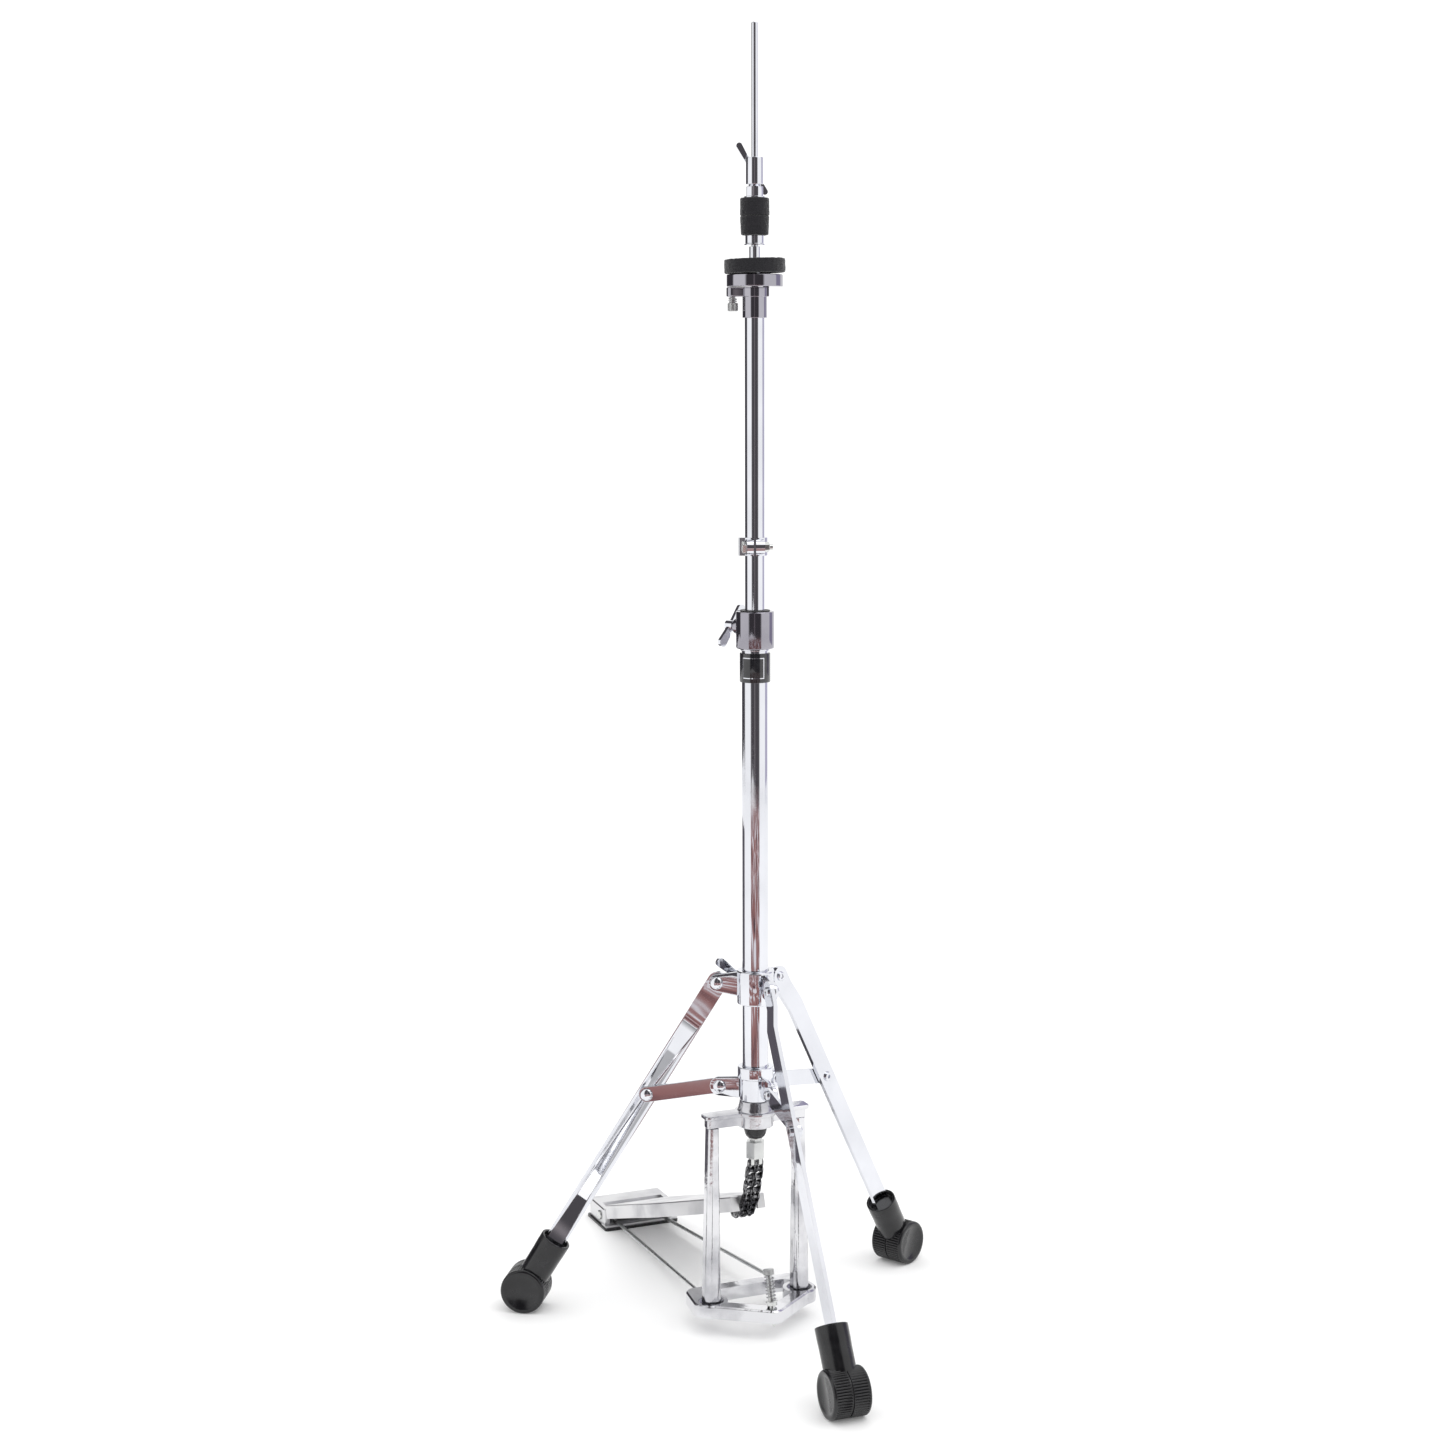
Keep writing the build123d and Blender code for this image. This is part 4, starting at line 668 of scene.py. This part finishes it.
RIBS = 52
RIB_DEPTH = 1.1
STEPS_PER_RIB = 6
RIBBED_FROM = 1.0
RIBBED_TO = 15.5
DRUM_R = 22.5
DRUM_HALF = 18.5
RIM_ROUND = 2.5
GROOVE_HALF = 0.8
GROOVE_DEPTH = 1.1
SHELF_R = 17.0
DISH_R = 16.6
DISH_DEPTH = 0.4
HALF_STATIONS = [-18.5, -18.45, -18.2, -17.7, -17.0, -16.2, -16.0, -15.4, -14.6, -1.6, -1.0, -0.8, -0.4]
LEG_MIDDLE = -4.3


def drum_radius(along):
    """The foot drum's radius at a distance from its middle, with rounded rims and a parting groove."""
    rim = DRUM_HALF - RIM_ROUND
    if abs(along) > rim:
        return DRUM_R - RIM_ROUND + max(0.0, RIM_ROUND ** 2 - (abs(along) - rim) ** 2) ** 0.5
    if abs(along) < GROOVE_HALF:
        return DRUM_R - GROOVE_DEPTH
    return DRUM_R


def build_foot(number, azimuth):
    """A ribbed rubber drum with a sleeve that takes the leg's end."""
    anticlockwise = outward(azimuth + 90)
    down_leg = outward(azimuth) * sin(LEG_LEAN) - Vector((0, 0, cos(LEG_LEAN)))
    centre = around(FOOT_POINT[0], azimuth, FOOT_POINT[1]) + anticlockwise * LEG_MIDDLE
    drum_place = axes(centre, outward(azimuth), anticlockwise)
    bm = bmesh.new()
    segments = RIBS * STEPS_PER_RIB
    waves = [(0.5 - 0.5 * cos(RIBS * 2 * pi * i / segments)) ** 2 for i in range(segments)]
    rings = []
    for along in HALF_STATIONS + [-station for station in reversed(HALF_STATIONS)]:
        depth = RIB_DEPTH if RIBBED_FROM < abs(along) < RIBBED_TO else 0.0
        rings.append(ring_of(bm, drum_place, along, [drum_radius(along) - depth * wave for wave in waves]))
    join_rings(bm, rings)
    for rim, side in ((rings[0], -1), (rings[-1], 1)):
        shelf = ring_of(bm, drum_place, side * DRUM_HALF, [SHELF_R] * segments)
        dish = ring_of(bm, drum_place, side * (DRUM_HALF - DISH_DEPTH), [DISH_R] * segments)
        join_rings(bm, [rim, shelf, dish])
        bm.faces.new(dish)
    sleeve_place = axes(centre, anticlockwise, -down_leg)
    sleeve = turned([(0, 8), (15.2, 8), (15.2, 40), (15.5, 48), (15.5, 60), (12.9, 60), (12.9, 55), (0, 55)],
                    0.9, 96, sleeve_place)
    stand_in(f"foot_{number}_rubber", finish_mesh(f"foot_{number}", merged(bm, sleeve), 50),
             f"foot_{number}")


# ---------- pedal ----------
SPUR_TILT = radians(15)
SPUR_Y = 40
SPUR_Z = 31


def build_pedal():
    """The base, uprights, footboard, heel, chain and spur."""
    for node, edge in (("base_plate", 1.6), ("uprights", 1.2), ("frame_hub", 1.2), ("footboard", 0.5),
                       ("heel_plate", 0.5), ("heel_pad", 0.4), ("heel_hinge_pin", 0.3), ("rod_coupler", 0.4),
                       ("chain_upper", 0.15), ("chain_lower", 0.15), ("toe_clamp", 0.3), ("spur_nut", 0.3),
                       ("radius_rods", 0.3)):
        refined(node, edge)
    bumper = turned([(3.1, 191), (7.5, 191), (9.2, 192.6), (10.4, 195), (11.2, 198.5), (11.6, 202.6),
                     (3.1, 202.6)], 0.5, 96)
    stand_in("rubber_bumper_body", finish_mesh("rubber_bumper", bumper), "rubber_bumper")
    spur = axes((0, SPUR_Y, SPUR_Z), (1, 0, 0), (0, -sin(SPUR_TILT), cos(SPUR_TILT)))
    shank = turned([(0, -19), (1.0, -18.6), (3, -15), (3, 31.5), (0, 31.5)], 0.3, 64, spur)
    head = knurled(5.5, 31, 37, 30, 0.35, spur)
    stand_in("spur_knob", finish_mesh("spur_screw", merged(head, shank), 25), "spur_screw")


# ---------- stage, light and camera ----------
CAMERA_PLACE = Vector((0.952, 2.138, 0.929))
CAMERA_TILT = 82.0
CAMERA_TURN = 156.76
CAMERA_ROLL = -0.15
CAMERA_LENS = 61.64
SENSOR_WIDTH = 36
CAMERA_SIDE = atan2(CAMERA_PLACE.y, CAMERA_PLACE.x)
CARD_HEIGHT = 0.004
STUDIO_WHITE = (1.15, 1.15, 1.15)


def emitter(name, color, strength=1.0):
    """A plain glowing material."""
    material = bpy.data.materials.new(name)
    material.use_nodes = True
    nodes = material.node_tree.nodes
    nodes.clear()
    emission = nodes.new("ShaderNodeEmission")
    emission.inputs["Color"].default_value = (*color, 1)
    emission.inputs["Strength"].default_value = strength
    output = nodes.new("ShaderNodeOutputMaterial")
    material.node_tree.links.new(emission.outputs[0], output.inputs["Surface"])
    return material


def streaked_card(name):
    """A card of warm browns with dark and pale patches, so that chrome tubes reflect streaks."""
    material = emitter(name, (0.28, 0.13, 0.12))
    nodes, links = material.node_tree.nodes, material.node_tree.links
    patches = noise_field(nodes, links, 2.6, 3, distortion=0.8)
    links.new(ramp(nodes, links, patches, [(0.34, (0.12, 0.08, 0.09)), (0.45, (0.36, 0.17, 0.16)),
                                           (0.53, (0.42, 0.25, 0.24)), (0.6, (0.85, 0.82, 0.85))]),
              nodes["Emission"].inputs["Color"])
    return material


def sector(name, inner, outer, half_turn, material, side=CAMERA_SIDE):
    """A flat sector of the floor that only shows in reflections."""
    bm = bmesh.new()
    steps = 12
    near, far = [], []
    for step in range(steps + 1):
        angle = side + radians(half_turn) * (2 * step / steps - 1)
        near.append(bm.verts.new((inner * cos(angle), inner * sin(angle), CARD_HEIGHT)))
        far.append(bm.verts.new((outer * cos(angle), outer * sin(angle), CARD_HEIGHT)))
    for i in range(steps):
        bm.faces.new((near[i], far[i], far[i + 1], near[i + 1]))
    mesh = bpy.data.meshes.new(name)
    bm.to_mesh(mesh)
    bm.free()
    mesh.materials.append(material)
    obj = bpy.data.objects.new(name, mesh)
    bpy.context.scene.collection.objects.link(obj)
    obj.visible_camera = False
    obj.visible_diffuse = False
    obj.visible_shadow = False
    obj.visible_transmission = False


def build_world():
    """White studio: plain white to the camera and matte surfaces, dark and lavender flags for chrome."""
    world = bpy.data.worlds.new("studio")
    bpy.context.scene.world = world
    world.use_nodes = True
    nodes, links = world.node_tree.nodes, world.node_tree.links
    background = nodes["Background"]
    place = nodes.new("ShaderNodeTexCoord")
    split = nodes.new("ShaderNodeSeparateXYZ")
    links.new(place.outputs["Generated"], split.inputs[0])
    turn = nodes.new("ShaderNodeMath")
    turn.operation = "ARCTAN2"
    links.new(split.outputs["Y"], turn.inputs[0])
    links.new(split.outputs["X"], turn.inputs[1])
    wrap = nodes.new("ShaderNodeMath")
    wrap.operation = "WRAP"
    wrap.inputs[1].default_value = CAMERA_SIDE + pi
    wrap.inputs[2].default_value = CAMERA_SIDE - pi
    links.new(turn.outputs[0], wrap.inputs[0])
    share = nodes.new("ShaderNodeMapRange")
    share.inputs["From Min"].default_value = CAMERA_SIDE - pi
    share.inputs["From Max"].default_value = CAMERA_SIDE + pi
    links.new(wrap.outputs[0], share.inputs["Value"])

    def stop(turn_from_camera):
        return 0.5 + turn_from_camera / 360

    white, dark, left = STUDIO_WHITE, (0.085, 0.078, 0.085), (0.07, 0.065, 0.075)
    seam, lavender = (0.3, 0.27, 0.28), (0.5, 0.47, 0.62)
    flags = ramp(nodes, links, share.outputs["Result"], [
        (0.0, white), (stop(-160), white), (stop(-155), left), (stop(-102), left), (stop(-94), white),
        (stop(-42), white), (stop(-33), dark), (stop(-6), dark), (stop(-3), seam), (stop(2), dark),
        (stop(33), dark), (stop(42), white), (stop(95), white), (stop(99), lavender), (stop(124), lavender),
        (stop(130), white), (1.0, white),
    ])
    path = nodes.new("ShaderNodeLightPath")
    glossy = nodes.new("ShaderNodeMix")
    glossy.data_type = "RGBA"
    plain, flagged = [socket for socket in glossy.inputs if socket.type == "RGBA"]
    plain.default_value = (*STUDIO_WHITE, 1)
    links.new(flags, flagged)
    links.new(path.outputs["Is Glossy Ray"], glossy.inputs["Factor"])
    mixed = next(socket for socket in glossy.outputs if socket.type == "RGBA")
    links.new(mixed, background.inputs["Color"])
    background.inputs["Strength"].default_value = 1.0


def build_stage():
    """A pale floor, two reflection cards and one soft overhead light."""
    bm = bmesh.new()
    bmesh.ops.create_grid(bm, x_segments=4, y_segments=4, size=4.0)
    mesh = bpy.data.meshes.new("studio_floor")
    bm.to_mesh(mesh)
    bm.free()
    floor = bpy.data.objects.new("studio_floor", mesh)
    bpy.context.scene.collection.objects.link(floor)
    material, shader = new_material("pale_floor", (0.93, 0.93, 0.93), NOT_METAL, 0.85)[:2]
    shader.inputs["Specular IOR Level"].default_value = 0.1
    shader.inputs["Emission Color"].default_value = (1, 1, 1, 1)
    shader.inputs["Emission Strength"].default_value = 0.06
    mesh.materials.append(material)
    sector("warm_floor_card", 0.62, 4.0, 38, streaked_card("warm_card"))
    sector("dim_floor_card", 0.5, 3.0, 22, emitter("dim_card", (0.12, 0.11, 0.13)),
           side=CAMERA_SIDE - radians(128))
    light = bpy.data.lights.new("overhead_softbox", "AREA")
    light.shape = "RECTANGLE"
    light.size, light.size_y = 2.2, 1.6
    light.energy = 14
    lamp = bpy.data.objects.new("overhead_softbox", light)
    lamp.location = (-0.6, 1.2, 2.9)
    lamp.rotation_euler = (Vector((0, 0, 0.5)) - lamp.location).to_track_quat("-Z", "Y").to_euler()
    bpy.context.scene.collection.objects.link(lamp)
    bpy.context.scene.view_settings.view_transform = "Standard"


def build_camera():
    """A camera at the photo's viewing angle."""
    data = bpy.data.cameras.new("studio_camera")
    data.sensor_width = SENSOR_WIDTH
    data.lens = CAMERA_LENS
    camera = bpy.data.objects.new("studio_camera", data)
    turn = Matrix.Rotation(radians(CAMERA_TURN), 4, "Z") @ Matrix.Rotation(radians(CAMERA_TILT), 4, "X")
    roll = Matrix.Rotation(radians(CAMERA_ROLL), 4, "Z")
    camera.matrix_world = Matrix.Translation(CAMERA_PLACE) @ turn @ roll
    bpy.context.scene.collection.objects.link(camera)
    bpy.context.scene.camera = camera


build_camera()
build_world()
build_stage()
build_column()
build_seat()
build_clutch()
build_tripod()
build_pedal()
